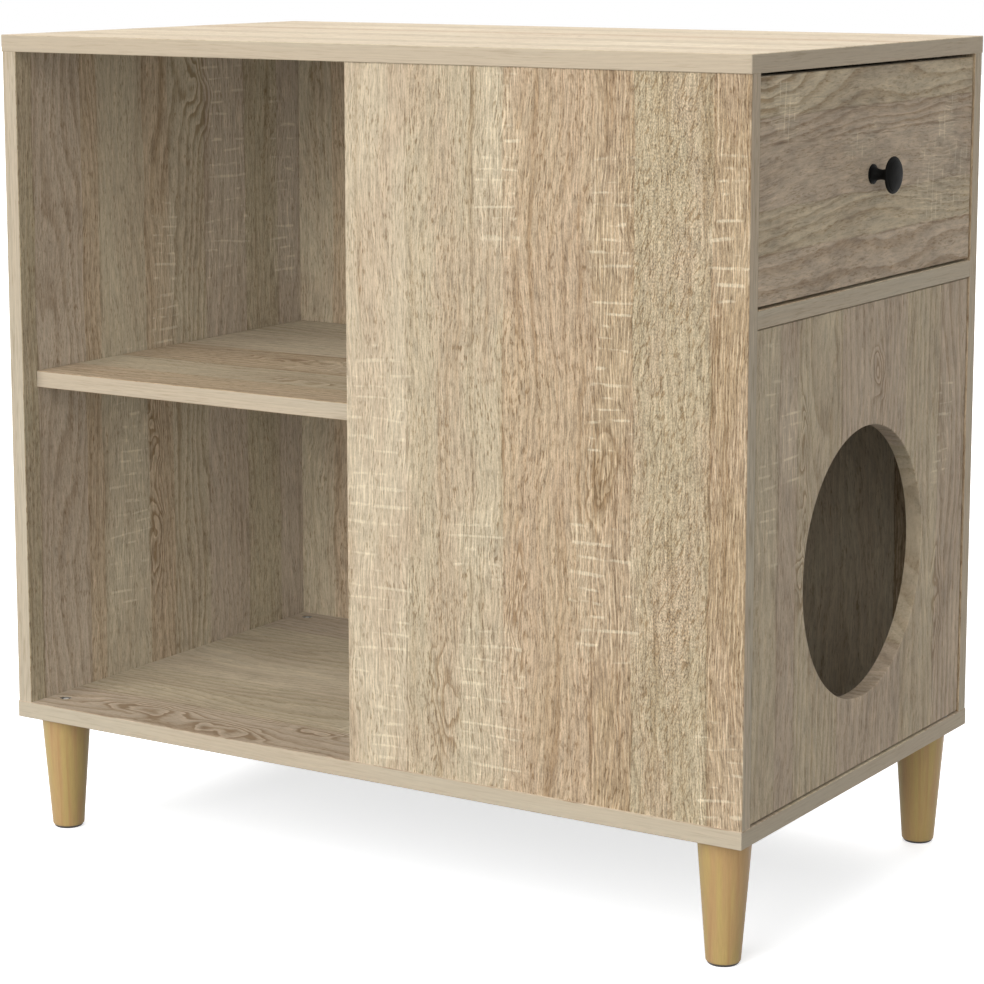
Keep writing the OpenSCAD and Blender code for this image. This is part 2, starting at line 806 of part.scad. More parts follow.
module drawer_back() {
    z = drawer_floor_z + groove_play;
    color(oak) difference() {
        translate([drawer_x, drawer_y + drawer_side_t, z])
            cube([drawer_side_t, drawer_w - 2 * drawer_side_t, drawer_z + drawer_side_h - z]);
        drawer_screw_set(fit);
    }
}

module drawer_bottom() {
    inset = drawer_side_t - groove_depth + groove_play;
    length = drawer_side_l + groove_depth - groove_play;
    color(oak) translate([drawer_x, drawer_y + inset, drawer_z + groove_lift])
        cube([length, drawer_w - 2 * inset, drawer_bottom_t]);
}

module drawer_dowels() {
    color(beech) drawer_dowel_set();
}

module drawer_screws() {
    color(steel) drawer_screw_set();
}

// A turned knob: a flared base, a waisted neck and a domed disc, bored for its screw
module knob() {
    base_r = knob_base_d / 2;
    neck_r = knob_neck_d / 2;
    disc_r = knob_d / 2;
    foot = 1.5;
    crown = 3.2;
    rim_r = 1.6;
    waist_z = (knob_l - crown) * 0.45;
    under_z = knob_l - crown - 2 * rim_r;
    in_r = base_r - neck_r;
    out_r = disc_r - rim_r - neck_r;
    low_h = waist_z - foot;
    high_h = under_z - waist_z;
    flare = [for (a = [0 : 10 : 90]) [base_r - in_r * sin(a), waist_z - low_h * cos(a)]];
    spread = [for (a = [10 : 10 : 80]) [neck_r + out_r * (1 - cos(a)), waist_z + high_h * sin(a)]];
    rim = [for (a = [-90 : 15 : 90]) [disc_r - rim_r + rim_r * cos(a), under_z + rim_r + rim_r * sin(a)]];
    dome = [for (a = [15 : 15 : 90]) [(disc_r - rim_r) * cos(a), knob_l - crown + crown * sin(a)]];
    color(black) translate([face_x, knob_y, knob_z]) rotate([0, 90, 0]) difference() {
        rotate_extrude() polygon(concat([[0, 0], [base_r, 0]], flare, spread, rim, dome));
        translate([0, 0, -cut]) cylinder(d = knob_screw_d + 2 * fit, h = knob_bore + cut);
    }
}

module knob_screw() {
    head_r = knob_screw_d;
    head_l = 2.4;
    grip = board_t + knob_bore - 2;
    r = knob_screw_d / 2;
    crown = [[0, -head_l], [head_r * 0.6, -head_l], [head_r, -head_l * 0.4], [head_r, 0]];
    color(steel) translate([inner_face_x, knob_y, knob_z]) rotate([0, 90, 0])
        rotate_extrude() polygon(concat(crown, [[r, 0], [r, grip], [0, grip]]));
}

// Door

// The pivots' holes in the door, or the pins themselves with the collar that carries the door
module pivot_set(play = 0) {
    door_top = door_z + door_h;
    d = pivot_d + 2 * play;
    reach = pivot_grip + play;
    translate([pivot_x, pivot_y, 0]) {
        translate([0, 0, door_top - reach])
            cylinder(d = d, h = reach + door_top_gap + pin_seat);
        translate([0, 0, floor_z - pin_seat]) cylinder(d = d, h = pin_seat + door_bottom_gap + reach);
        if (play == 0)
            translate([0, 0, floor_z + slip]) cylinder(d = collar_d, h = door_bottom_gap - slip);
    }
}

// The door: a banded board with the cat's round hole, whose rims are softened
module entry_door() {
    hole_r = hole_d / 2;
    hole_outline = [
        [0, -cut], [hole_r + edge_bevel + cut, -cut], [hole_r, edge_bevel],
        [hole_r, board_t - edge_bevel], [hole_r + edge_bevel + cut, board_t + cut], [0, board_t + cut]
    ];
    color(oak) difference() {
        translate([inner_face_x, fronts_y, door_z])
            banded_board([board_t, fronts_d, door_h]);
        translate([inner_face_x, fronts_y + fronts_d / 2, floor_z + hole_lift])
            rotate([0, 90, 0]) rotate_extrude($fn = 128) polygon(hole_outline);
        pivot_set(fit);
        plate_screw_set(fit);
    }
}

module pivot_pins() {
    color(steel) pivot_set();
}

// Bushes for the pivots, flush in the chamber floor and in the underside of the deck
module pivot_bushes() {
    color(nylon) for (z = [floor_z - bush_depth, deck_z])
        translate([pivot_x, pivot_y, z]) difference() {
            cylinder(d = bush_d, h = bush_depth);
            translate([0, 0, -cut]) cylinder(d = pivot_d + 2 * running_fit, h = bush_depth + 2 * cut);
        }
}

// Screws that rise through the catch into the deck, or their holes
module catch_screw_set(play = 0) {
    x = inner_face_x - catch_plate_t - slip - catch_deep / 2;
    for (y = catch_screw_y)
        translate([x, y, deck_z - catch_h]) small_screw(catch_screw_l, play);
}

module catch_screws() {
    color(steel) catch_screw_set();
}

// The magnetic catch under the deck: a housing with two pole plates at its face
module door_catch() {
    pole_t = 2;
    pole_out = 0.6;
    seat_x = inner_face_x - catch_plate_t - slip;
    color(black) {
        difference() {
            translate([seat_x - catch_deep, catch_y, deck_z - catch_h])
                cube([catch_deep - pole_out, catch_l, catch_h]);
            catch_screw_set(fit);
        }
        for (z = [deck_z - catch_h / 2 - 2 * pole_t, deck_z - catch_h / 2 + pole_t])
            translate([seat_x - pole_out, catch_y + catch_plate_inset, z])
                cube([pole_out, catch_l - 2 * catch_plate_inset, pole_t]);
    }
}

// The steel plate on the door that the catch holds
module catch_plate() {
    color(steel) difference() {
        translate([inner_face_x - catch_plate_t, catch_y + catch_plate_inset, deck_z - catch_plate_low])
            cube([catch_plate_t, catch_l - 2 * catch_plate_inset, catch_plate_low - catch_plate_drop]);
        plate_screw_set(fit);
    }
}

// Screws through the catch plate into the door, or their holes
module plate_screw_set(play = 0) {
    z = deck_z - (catch_plate_low + catch_plate_drop) / 2;
    for (y = catch_screw_y)
        translate([inner_face_x - catch_plate_t, y, z]) rotate([0, 90, 0]) small_screw(plate_screw_l, play);
}

module plate_screws() {
    color(steel) plate_screw_set();
}

placed() {
    top_panel();
    bottom_panel();
    left_side();
    back_panel();
    front_panel();
    divider();
    drawer_deck();
    bay_shelf();
    shelf_pins();
    leg(leg_spots[0]);  // leg_front_left
    leg(leg_spots[1]);  // leg_front_right
    leg(leg_spots[2]);  // leg_back_left
    leg(leg_spots[3]);  // leg_back_right
    leg_inserts();
    leg_bolts();
    leg_glides();
    dowels();
    panel_screws();
    cam_locks();
    cam_bolts();
    rail(0);  // rail_front
    rail(1);  // rail_back
    rail_screws();
    rail_rollers();
    door_catch();
    catch_screws();
    pivot_bushes();
    drawer_front();
    drawer_side(0);  // drawer_side_front
    drawer_side(1);  // drawer_side_back
    drawer_back();
    drawer_bottom();
    drawer_dowels();
    drawer_screws();
    runner(0);  // runner_front
    runner(1);  // runner_back
    runner_screws();
    drawer_rollers();
    knob();
    knob_screw();
    entry_door();
    pivot_pins();
    catch_plate();
    plate_screws();
}
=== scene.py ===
"""Dresses the cat house: sawn-oak boards, turned pine legs, an enamelled knob, steel fittings."""
import math

import bmesh
import bpy
from bpy.props import FloatProperty, FloatVectorProperty, PointerProperty
from mathutils import Euler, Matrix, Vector


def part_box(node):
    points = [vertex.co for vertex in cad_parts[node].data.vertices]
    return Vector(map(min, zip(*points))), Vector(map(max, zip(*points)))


bl_info = {
    "name": "Cat house",
    "version": (1, 0, 0),
    "blender": (4, 5, 0),
    "location": "3D View > Sidebar > Cat house",
    "description": "Finishes and stage of a raised cat house with a drawer and an open bay",
    "category": "Object",
}

# What a new Blender file holds makes way
for leftover in ("Cube", "Light", "Camera"):
    if leftover in bpy.data.objects:
        bpy.data.objects.remove(bpy.data.objects[leftover])
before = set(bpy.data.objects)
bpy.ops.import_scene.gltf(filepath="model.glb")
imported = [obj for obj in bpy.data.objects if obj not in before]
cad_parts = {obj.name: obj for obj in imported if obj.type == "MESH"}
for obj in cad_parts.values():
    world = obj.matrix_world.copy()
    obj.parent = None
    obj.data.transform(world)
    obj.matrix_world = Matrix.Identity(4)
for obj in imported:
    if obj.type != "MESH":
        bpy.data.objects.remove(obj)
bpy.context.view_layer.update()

MM = 0.001

# The band round a board's edges: how deep it shows, and how strongly the grain shows on it
CUT_EDGE = 2 * MM
BAND_GRAIN = 0.45

# Where two strips of the print meet: half the width of the dark line, how dark it is, and how far
# it wanders across the grain
SEAM = 1.6 * MM
SEAM_SHADE = 0.95
STRIP_SWAY = 8 * MM

# How far the whole figure wanders across the grain, in long bends and in short ones
LONG_BEND = 30 * MM
SHORT_BEND = 5 * MM

# Distance between two arched lines, between two rows of saw marks, and between two combed lines
LINE_PITCH = 11.5 * MM
SAW_PITCH = 12 * MM
COMB_PITCH = 3.6 * MM

# How many lines' distance the arches bend by, and how far a single line wavers, as a share of it
ARCH_BEND = 9
LINE_WAVER = 0.40

# Lean of the saw marks across the board, lean of the strokes in a mottled place, and how faint
# the fine grain is there
SAW_LEAN = -4.0
STROKE_LEAN = math.radians(20)
MOTTLED_FADING = -0.45

# How steeply the arched lines climb round a knot, how much of them shows there, and how mottled
# a mottled place is
KNOT_RISE = 3.0
KNOT_ARCHES = 1.1
MOTTLED = 0.75

# A placed knot or patch goes right through its board, and its outline is bent by up to half of
# this each way
THROUGH = 1000
BEND = (35 * MM, 60 * MM, 0)

# From one board to the next the print moves on by this much, so no two boards show the same piece
SHEET_STEP = (0.37, 0.91, 0.13)

# How strongly the fine grain shows on each tone of the print
TONE_GRAIN = {
    "cream": 0.66, "greige": 0.86, "taupe": 0.86, "tan": 0.98, "ochre": 1.10, "stone": 1.08}

# How much each part of the figure shades the print, and how much it lifts the lightness
SHADE = {"pores": 0.50, "streaks": 0.26, "strokes": 0.95, "arches": 0.74}
LIFT = {
    "lines": 0.26, "dashes": -0.38, "grit": 0.24, "mottled grit": 0.90, "rims": 0.07,
    "seams": -0.10}

# Colour of the print's warm places, what its dark lines multiply it by, the colour of its saw
# marks and how much of that shows
WARM_PLACE = (0.60, 0.445, 0.305, 1)
DARK_LINE = (0.62, 0.54, 0.45, 1)
SAW_MARK = (0.86, 0.75, 0.55, 1)
SAW_LIGHT = 0.54

# Bearing of the tree's pith from the axis of each leg, in degrees from the object's right side
# towards its back
PITH_BEARINGS = {
    "leg_front_left": 30, "leg_front_right": 205, "leg_back_left": 48, "leg_back_right": 222}

# Each hard finish: how metallic and how rough it is, the width and the depth of its specks in
# millimetres, and the strengths of its clear coat and of its gloss
HARD_FINISHES = {
    "Lacquered hardboard": (0, 0.50, 0.8, 0.05, 0, 0.5),
    "Glide plastic": (0, 0.45, 0.6, 0.05, 0, 0.5),
    "Satin enamel": (0, 0.55, 0.7, 0.03, 0, 0.05),
    "Zinc plate": (1, 0.46, 0.5, 0.02, 0, 0.5),
    # The domed bolts' finish is pale and less metallic than real steel, so that its plain colour
    # paints part of the gleam that the domes catch
    "Bright steel": (0.35, 0.24, 0.5, 0.01, 0, 0.5),
    "Cast zinc": (1, 0.50, 0.9, 0.06, 0, 0.5),
    "Powder coat": (0, 0.38, 0.9, 0.04, 0.3, 0.5),
    "Nylon": (0, 0.42, 0.8, 0.03, 0, 0.5),
    "Catch plastic": (0, 0.45, 0.8, 0.04, 0, 0.5),
}

# How much the specks of a hard finish vary its colour and its roughness
UNEVENNESS = 0.30

# Each lamp: its setting, its height, its turn to the left of the front and its width, in degrees
LAMPS = (
    ("front", 35, 8, 50), ("low", 10, 8, 40), ("end", 15, -45, 60), ("top", 90, 0, 40),
    ("back", 50, 150, 40))

# The floor: half its width in metres, its grey as it lights the object, and as the camera sees it
FLOOR_REACH = 14
FLOOR_LIT = (0.26, 0.26, 0.26, 1)
FLOOR_SEEN = (0.96, 0.96, 0.96, 1)
WHITE = (1, 1, 1, 1)

# How each board is turned, so that its pattern's X runs across the grain, Y along it and Z
# through the board
LAYS = {
    "upright_front": (math.radians(-90), 0, 0),
    "upright_end": (0, math.radians(90), math.radians(90)),
    "level_long": (0, 0, math.radians(90)),
    "level_end": (0, math.radians(90), 0),
}

# Each board's sheet of print, measured as fractions across and along its grain:
# grain, clouds, warmth: strength of the fine grain, of the soft light and dark places, and of the
#     warm ones
# strips: start across, tone, arched lines, mottling, combed lines
# sawn: patches of saw marks: centre across and along, reach across and along in metres
# knots: the same, for the places that the lines run round
# mottled: the same, for a mottled place
BOARDS = {
    "top_panel": {
        "lay": "level_long", "grain": 0.52, "clouds": 0.16, "warmth": 0.25,
        "strips": (
            (0.00, "cream", 0.3, 0.0, 0.2), (0.10, "greige", 0.5, 0.0, 0.0),
            (0.19, "cream", 0.3, 0.0, 0.0), (0.33, "tan", 0.4, 0.0, 0.3),
            (0.40, "cream", 0.2, 0.0, 0.2), (0.55, "greige", 0.6, 0.0, 0.0),
            (0.63, "cream", 0.3, 0.0, 0.3), (0.80, "greige", 0.5, 0.0, 0.0),
            (0.87, "cream", 0.2, 0.0, 0.2)),
        "sawn": ((0.72, 0.80, 0.03, 0.08), (0.25, 0.30, 0.03, 0.10)),
        "knots": ((0.45, 0.55, 0.012, 0.06),)},
    "bottom_panel": {
        "lay": "level_long", "grain": 0.38, "clouds": 0.4, "warmth": 0.2,
        "strips": (
            (0.00, "taupe", 0.5, 0.0, 0.0), (0.20, "greige", 0.5, 0.1, 0.0),
            (0.42, "cream", 0.4, 0.0, 0.1), (0.63, "greige", 0.6, 0.1, 0.0),
            (0.84, "taupe", 0.9, 0.1, 0.0)),
        "sawn": ((0.80, 0.47, 0.04, 0.05), (0.35, 0.60, 0.04, 0.10)),
        "knots": (
            (0.91, 0.17, 0.016, 0.050), (0.95, 0.30, 0.014, 0.045), (0.86, 0.38, 0.012, 0.05))},
    "left_side": {
        "lay": "upright_end", "grain": 0.66, "clouds": 0.36, "warmth": 0.2,
        "strips": (
            (0.000, "taupe", 0.3, 0.0, 0.2), (0.088, "stone", 0.4, 0.1, 0.0),
            (0.213, "taupe", 0.5, 0.0, 0.1), (0.365, "greige", 0.9, 0.1, 0.0),
            (0.493, "tan", 0.8, 0.0, 0.3), (0.583, "greige", 0.3, 0.0, 0.0),
            (0.740, "tan", 0.6, 0.0, 0.4), (0.794, "taupe", 0.7, 0.1, 0.0),
            (0.953, "stone", 0.6, 0.0, 0.0)),
        "sawn": (
            (0.29, 0.80, 0.032, 0.12), (0.52, 0.62, 0.016, 0.07), (0.66, 0.46, 0.028, 0.035),
            (0.65, 0.26, 0.030, 0.09), (0.06, 0.75, 0.018, 0.10)),
        "knots": (
            (0.56, 0.38, 0.008, 0.050), (0.56, 0.20, 0.009, 0.035), (0.38, 0.92, 0.020, 0.035))},
    "back_panel": {
        "lay": "upright_front", "grain": 0.68, "clouds": 0.34, "warmth": 0.3,
        "strips": (
            (0.00, "greige", 0.3, 0.0, 0.1), (0.074, "tan", 0.5, 0.0, 0.0),
            (0.17, "greige", 0.4, 0.1, 0.0), (0.29, "cream", 0.5, 0.0, 0.1),
            (0.42, "greige", 0.7, 0.2, 0.0), (0.52, "tan", 0.9, 0.1, 0.0),
            (0.63, "ochre", 0.4, 0.0, 0.6), (0.68, "stone", 0.3, 0.6, 0.0),
            (0.78, "cream", 0.4, 0.0, 0.1), (0.91, "ochre", 0.6, 0.0, 0.5)),
        "sawn": (
            (0.35, 0.80, 0.035, 0.10), (0.65, 0.40, 0.03, 0.12), (0.84, 0.65, 0.04, 0.07),
            (0.22, 0.25, 0.04, 0.06)),
        "knots": ((0.57, 0.62, 0.03, 0.05), (0.37, 0.28, 0.03, 0.04))},
    "front_panel": {
        "lay": "upright_front", "grain": 1.0, "clouds": 0.24, "warmth": 0.38,
        "strips": (
            (0.000, "cream", 0.10, 0.0, 0.1), (0.161, "greige", 0.20, 0.1, 0.0),
            (0.330, "greige", 0.15, 0.1, 0.2), (0.410, "tan", 0.55, 0.1, 0.0),
            (0.633, "ochre", 0.30, 0.0, 0.8), (0.730, "stone", 0.45, 0.25, 0.2),
            (0.913, "ochre", 0.20, 0.0, 0.9)),
        "sawn": (
            (0.400, 0.88, 0.019, 0.085), (0.077, 0.47, 0.032, 0.080), (0.077, 0.20, 0.032, 0.070),
            (0.120, 0.05, 0.020, 0.020), (0.340, 0.35, 0.022, 0.028), (0.377, 0.12, 0.033, 0.070),
            (0.660, 0.30, 0.030, 0.060), (0.683, 0.70, 0.020, 0.130), (0.955, 0.80, 0.016, 0.060),
            (0.950, 0.05, 0.026, 0.060)),
        "knots": (
            (0.655, 0.460, 0.014, 0.050), (0.449, 0.26, 0.008, 0.055), (0.255, 0.12, 0.013, 0.045)),
        "mottled": ((0.820, 0.86, 0.042, 0.150), (0.830, 0.28, 0.030, 0.110))},
    "divider": {
        "lay": "upright_end", "grain": 0.66, "clouds": 0.3, "warmth": 0.25,
        "strips": (
            (0.00, "tan", 0.6, 0.1, 0.0), (0.21, "greige", 0.4, 0.1, 0.0),
            (0.45, "cream", 0.3, 0.0, 0.2), (0.62, "greige", 0.8, 0.1, 0.0),
            (0.83, "tan", 0.5, 0.0, 0.2)),
        "sawn": ((0.30, 0.70, 0.04, 0.10), (0.72, 0.30, 0.04, 0.08)),
        "knots": ((0.50, 0.45, 0.025, 0.04),)},
    "drawer_deck": {
        "lay": "level_long", "grain": 0.6, "clouds": 0.25, "warmth": 0.25,
        "strips": (
            (0.00, "greige", 0.5, 0.1, 0.0), (0.30, "cream", 0.4, 0.0, 0.1),
            (0.62, "tan", 0.7, 0.1, 0.0)),
        "sawn": ((0.45, 0.50, 0.04, 0.08),),
        "knots": ()},
    "bay_shelf": {
        "lay": "level_long", "grain": 0.5, "clouds": 0.28, "warmth": 0.25,
        "strips": (
            (0.00, "greige", 0.6, 0.0, 0.0), (0.22, "cream", 0.5, 0.0, 0.0),
            (0.48, "tan", 0.8, 0.0, 0.0), (0.70, "greige", 0.5, 0.1, 0.0),
            (0.86, "tan", 0.6, 0.0, 0.1)),
        "sawn": ((0.60, 0.65, 0.03, 0.05),),
        "knots": ((0.55, 0.45, 0.014, 0.06), (0.80, 0.70, 0.012, 0.05))},
    "drawer_front": {
        "lay": "level_end", "grain": 0.46, "clouds": 0.9, "warmth": 0.2,
        "strips": (
            (0.00, "taupe", 1.0, 0.1, 0.0), (0.22, "greige", 0.8, 0.1, 0.0),
            (0.42, "taupe", 0.3, 0.1, 0.0), (0.70, "taupe", 1.0, 0.1, 0.1),
            (0.82, "greige", 1.0, 0.1, 0.0)),
        "sawn": (
            (0.66, 0.44, 0.014, 0.035), (0.72, 0.88, 0.028, 0.010), (0.42, 0.84, 0.034, 0.050),
            (0.85, 0.10, 0.025, 0.020)),
        "knots": ((1.20, -0.05, 0.060, 0.085),)},
    "entry_door": {
        "lay": "upright_end", "grain": 0.52, "clouds": 0.65, "warmth": 0.2,
        "strips": (
            (0.00, "taupe", 0.9, 0.1, 0.1), (0.14, "greige", 0.6, 0.2, 0.1),
            (0.31, "taupe", 0.5, 0.1, 0.0), (0.47, "taupe", 0.6, 0.1, 0.1),
            (0.62, "greige", 0.7, 0.2, 0.0), (0.82, "taupe", 0.4, 0.1, 0.1),
            (0.90, "greige", 0.3, 0.2, 0.0)),
        "sawn": (
            (0.945, 0.75, 0.018, 0.100), (0.120, 0.68, 0.022, 0.050), (0.850, 0.80, 0.018, 0.050)),
        "knots": (
            (0.79, 0.76, 0.008, 0.028), (0.79, 0.58, 0.008, 0.024), (0.79, 0.46, 0.009, 0.020),
            (0.44, 0.84, 0.012, 0.022), (0.13, 0.28, 0.010, 0.060))},
}


# ---------------------------------------------------------------- settings


class CAT_HOUSE_PG_boards(bpy.types.PropertyGroup):
    """Tones of the sawn-oak print, and how strongly its figure shows."""
    cream: FloatVectorProperty(
        name="Cream strip", description="Palest strip of the print", subtype="COLOR",
        default=(0.615, 0.511, 0.362), min=0, max=1)
    greige: FloatVectorProperty(
        name="Greige strip", description="Grey-beige strip of the print", subtype="COLOR",
        default=(0.568, 0.471, 0.326), min=0, max=1)
    tan: FloatVectorProperty(
        name="Tan strip", description="Warm strip of the print", subtype="COLOR",
        default=(0.552, 0.423, 0.280), min=0, max=1)
    ochre: FloatVectorProperty(
        name="Ochre strip", description="Yellowest strip of the print", subtype="COLOR",
        default=(0.448, 0.326, 0.198), min=0, max=1)
    stone: FloatVectorProperty(
        name="Stone strip", description="Greyest, mottled strip of the print", subtype="COLOR",
        default=(0.505, 0.414, 0.274), min=0, max=1)
    taupe: FloatVectorProperty(
        name="Taupe strip", description="Brownish-grey strip of the print", subtype="COLOR",
        default=(0.542, 0.434, 0.317), min=0, max=1)
    band: FloatVectorProperty(
        name="Edge band", description="Band glued round the boards' edges", subtype="COLOR",
        default=(0.562, 0.484, 0.362), min=0, max=1)
    foil: FloatVectorProperty(
        name="Drawer foil", description="Foil on the drawer's sides and back", subtype="COLOR",
        default=(0.62, 0.52, 0.38), min=0, max=1)
    hardboard: FloatVectorProperty(
        name="Hardboard", description="Lacquer on the drawer's bottom", subtype="COLOR",
        default=(0.70, 0.64, 0.52), min=0, max=1)
    bounce: FloatVectorProperty(
        name="Bounced light", description="Tone that a board lends to the light on the next one",
        subtype="COLOR", default=(0.75, 0.745, 0.73), min=0, max=1)
    grain: FloatProperty(
        name="Grain", description="Strength of the fine grain lines", subtype="FACTOR",
        default=1.85, min=0, max=2)


class CAT_HOUSE_PG_legs(bpy.types.PropertyGroup):
    """Finish of the turned legs."""
    early: FloatVectorProperty(
        name="Early wood", description="Pale part of each ring of the pine", subtype="COLOR",
        default=(0.490, 0.345, 0.122), min=0, max=1)
    warm: FloatVectorProperty(
        name="Warm wood", description="Warmer streaks of the pine", subtype="COLOR",
        default=(0.480, 0.300, 0.125), min=0, max=1)
    late: FloatVectorProperty(
        name="Late wood", description="Dark line of each ring of the pine", subtype="COLOR",
        default=(0.430, 0.235, 0.090), min=0, max=1)
    ring: FloatProperty(
        name="Ring width", description="Distance between two rings of the pine",
        default=8 * MM, min=1 * MM, max=20 * MM, unit="LENGTH")
    pith: FloatProperty(
        name="Pith distance", description="Distance of the tree's pith from the axis of a leg",
        default=120 * MM, min=30 * MM, max=400 * MM, unit="LENGTH")


class CAT_HOUSE_PG_fittings(bpy.types.PropertyGroup):
    """Finish of the knob and of the steel, plastic and beech fittings."""
    enamel: FloatVectorProperty(
        name="Knob enamel", description="Colour of the knob", subtype="COLOR",
        default=(0.0045, 0.0042, 0.0038), min=0, max=1)
    # Pale colour of the domed bolts: the steel's own tone, also standing in as a painted gleam on
    # them
    steel: FloatVectorProperty(
        name="Bright steel", description="Colour of the domed bolts over the legs",
        subtype="COLOR", default=(0.90, 0.90, 0.88), min=0, max=1)
    zinc: FloatVectorProperty(
        name="Zinc", description="Colour of screws, pins and threaded inserts", subtype="COLOR",
        default=(0.32, 0.32, 0.31), min=0, max=1)
    cam: FloatVectorProperty(
        name="Cast zinc", description="Colour of the cam locks", subtype="COLOR",
        default=(0.46, 0.46, 0.45), min=0, max=1)
    coat: FloatVectorProperty(
        name="Runner coating", description="Powder coating of the rails and runners",
        subtype="COLOR", default=(0.78, 0.77, 0.74), min=0, max=1)
    nylon: FloatVectorProperty(
        name="Nylon", description="Colour of the rollers and bushes", subtype="COLOR",
        default=(0.74, 0.72, 0.66), min=0, max=1)
    catch: FloatVectorProperty(
        name="Catch", description="Plastic of the door catch", subtype="COLOR",
        default=(0.20, 0.13, 0.075), min=0, max=1)
    glide: FloatVectorProperty(
        name="Glides", description="Plastic of the glides under the legs", subtype="COLOR",
        default=(0.035, 0.030, 0.026), min=0, max=1)
    beech: FloatVectorProperty(
        name="Beech", description="Wood of the dowels", subtype="COLOR",
        default=(0.62, 0.42, 0.24), min=0, max=1)


class CAT_HOUSE_PG_stage(bpy.types.PropertyGroup):
    """Floor, lamps and camera."""
    front: FloatProperty(
        name="Front lamp", description="Strength of the wide lamp before the bay",
        default=1.55, min=0, max=10)
    low: FloatProperty(
        name="Low lamp", description="Strength of the low lamp that reaches into the bay",
        default=0.95, min=0, max=10)
    end: FloatProperty(
        name="End lamp", description="Strength of the low lamp on the drawer's and the door's side",
        default=0.76, min=0, max=10)
    top: FloatProperty(
        name="Top lamp", description="Strength of the wide lamp above",
        default=0.45, min=0, max=10)
    back: FloatProperty(
        name="Back lamp", description="Strength of the high lamp behind the back's left corner",
        default=1.50, min=0, max=10)
    glow: FloatProperty(
        name="Floor glow", description="Light that the floor gives off in the picture",
        default=0.6, min=0, max=1)
    room: FloatProperty(
        name="Room light", description="Strength of the even light from all round",
        default=0.22, min=0, max=2)
    lens: FloatProperty(
        name="Lens", description="Focal length on a 36 mm wide sensor, in millimetres",
        default=107.24, min=10, max=300)
    station: FloatVectorProperty(
        name="Camera place", description="Where the camera stands", subtype="XYZ", unit="LENGTH",
        default=(1.4801, -2.3556, 0.8842))
    yaw: FloatProperty(
        name="Camera turn", description="Turn of the camera to the left of the depth axis",
        default=math.radians(32.297), subtype="ANGLE")
    pitch: FloatProperty(
        name="Camera dip", description="How far the camera looks down",
        default=math.radians(9.092), subtype="ANGLE")
    shift: FloatProperty(
        name="Camera rise", description="Vertical shift of the lens",
        default=-0.1, min=-0.2, max=0.2)


# ---------------------------------------------------------------- node helpers


def put(tree, kind, inputs=None, **settings):
    """Adds a node, sets its options, and fills its inputs with values or other nodes' outputs."""
    node = tree.nodes.new(kind)
    for name, value in settings.items():
        setattr(node, name, value)
    for key, value in (inputs or {}).items():
        if isinstance(value, bpy.types.NodeSocket):
            tree.links.new(value, node.inputs[key])
        else:
            node.inputs[key].default_value = value
    return node


def maths(tree, operation, first, second=0.0, third=0.0, clamp=False):
    """The result of one Math node."""
    return put(
        tree, "ShaderNodeMath", {0: first, 1: second, 2: third},
        operation=operation, use_clamp=clamp).outputs[0]


def times(tree, first, *others):
    """All the values multiplied."""
    for other in others:
        first = maths(tree, "MULTIPLY", first, other)
    return first


def plus(tree, value, factor, base, clamp=False):
    """The base plus the value times the factor."""
    return maths(tree, "MULTIPLY_ADD", value, factor, base, clamp)


def less(tree, first, second):
    """The first value less the second."""
    return maths(tree, "SUBTRACT", first, second)


def vector_maths(tree, operation, *vectors):
    """The result of one Vector Math node."""
    return put(
        tree, "ShaderNodeVectorMath", dict(enumerate(vectors)), operation=operation).outputs[0]


def combine(tree, x, y=0.0, z=0.0):
    """A vector of three values."""
    return put(tree, "ShaderNodeCombineXYZ", {0: x, 1: y, 2: z}).outputs[0]


def split(tree, vector):
    """The three values of a vector, by the names X, Y and Z."""
    return put(tree, "ShaderNodeSeparateXYZ", {0: vector}).outputs


def turned(tree, vector, turn, **settings):
    """The vector turned by three angles."""
    return put(
        tree, "ShaderNodeMapping", {"Vector": vector, "Rotation": turn}, **settings).outputs[0]


def scaled(tree, vector, size):
    """The vector in units of size, so that a noise of scale 1 has features about that big."""
    return put(
        tree, "ShaderNodeMapping",
        {"Vector": vector, "Scale": [1 / length for length in size]}).outputs[0]


def noise(tree, vector, size=None, detail=2.0, roughness=0.5):
    """Noise from 0 to 1, with features of a size in millimetres on each of the three axes."""
    if size:
        vector = scaled(tree, vector, [length * MM for length in size])
    return put(
        tree, "ShaderNodeTexNoise",
        {"Vector": vector, "Scale": 1.0, "Detail": detail, "Roughness": roughness}).outputs["Fac"]


def ease(tree, value, low, high):
    """0 below low, 1 above high, and a smooth slope between."""
    return put(
        tree, "ShaderNodeMapRange", {"Value": value, "From Min": low, "From Max": high},
        interpolation_type="SMOOTHSTEP").outputs[0]


def hump(tree, value, low, top, high):
    """0 below low and above high, and 1 at top."""
    return times(tree, ease(tree, value, low, top), less(tree, 1, ease(tree, value, top, high)))


def blend_colour(tree, factor, first, second, how="MIX"):
    """The first colour with the second over it, as far as the factor says."""
    return put(
        tree, "ShaderNodeMix", {0: factor, 6: first, 7: second},
        data_type="RGBA", blend_type=how).outputs[2]


def blend_vector(tree, factor, first, second):
    """The first vector where the factor is 0, the second where it is 1."""
    return put(
        tree, "ShaderNodeMix", {0: factor, 4: first, 5: second}, data_type="VECTOR").outputs[1]


def lifted(tree, colour, lift):
    """The colour, lighter or darker as the lift is over or under 1."""
    return blend_colour(tree, 1.0, colour, combine(tree, lift, lift, lift), "MULTIPLY")


def ramp(tree, value, stops, how="CONSTANT"):
    """A colour ramp's outputs, colour and alpha, from stops of a place and a colour."""
    node = put(tree, "ShaderNodeValToRGB", {0: value})
    colours = node.color_ramp
    colours.interpolation = how
    while len(colours.elements) < len(stops):
        colours.elements.new(1.0)
    for element, (place, colour) in zip(colours.elements, stops):
        element.position = place
        element.color = colour
    return node.outputs


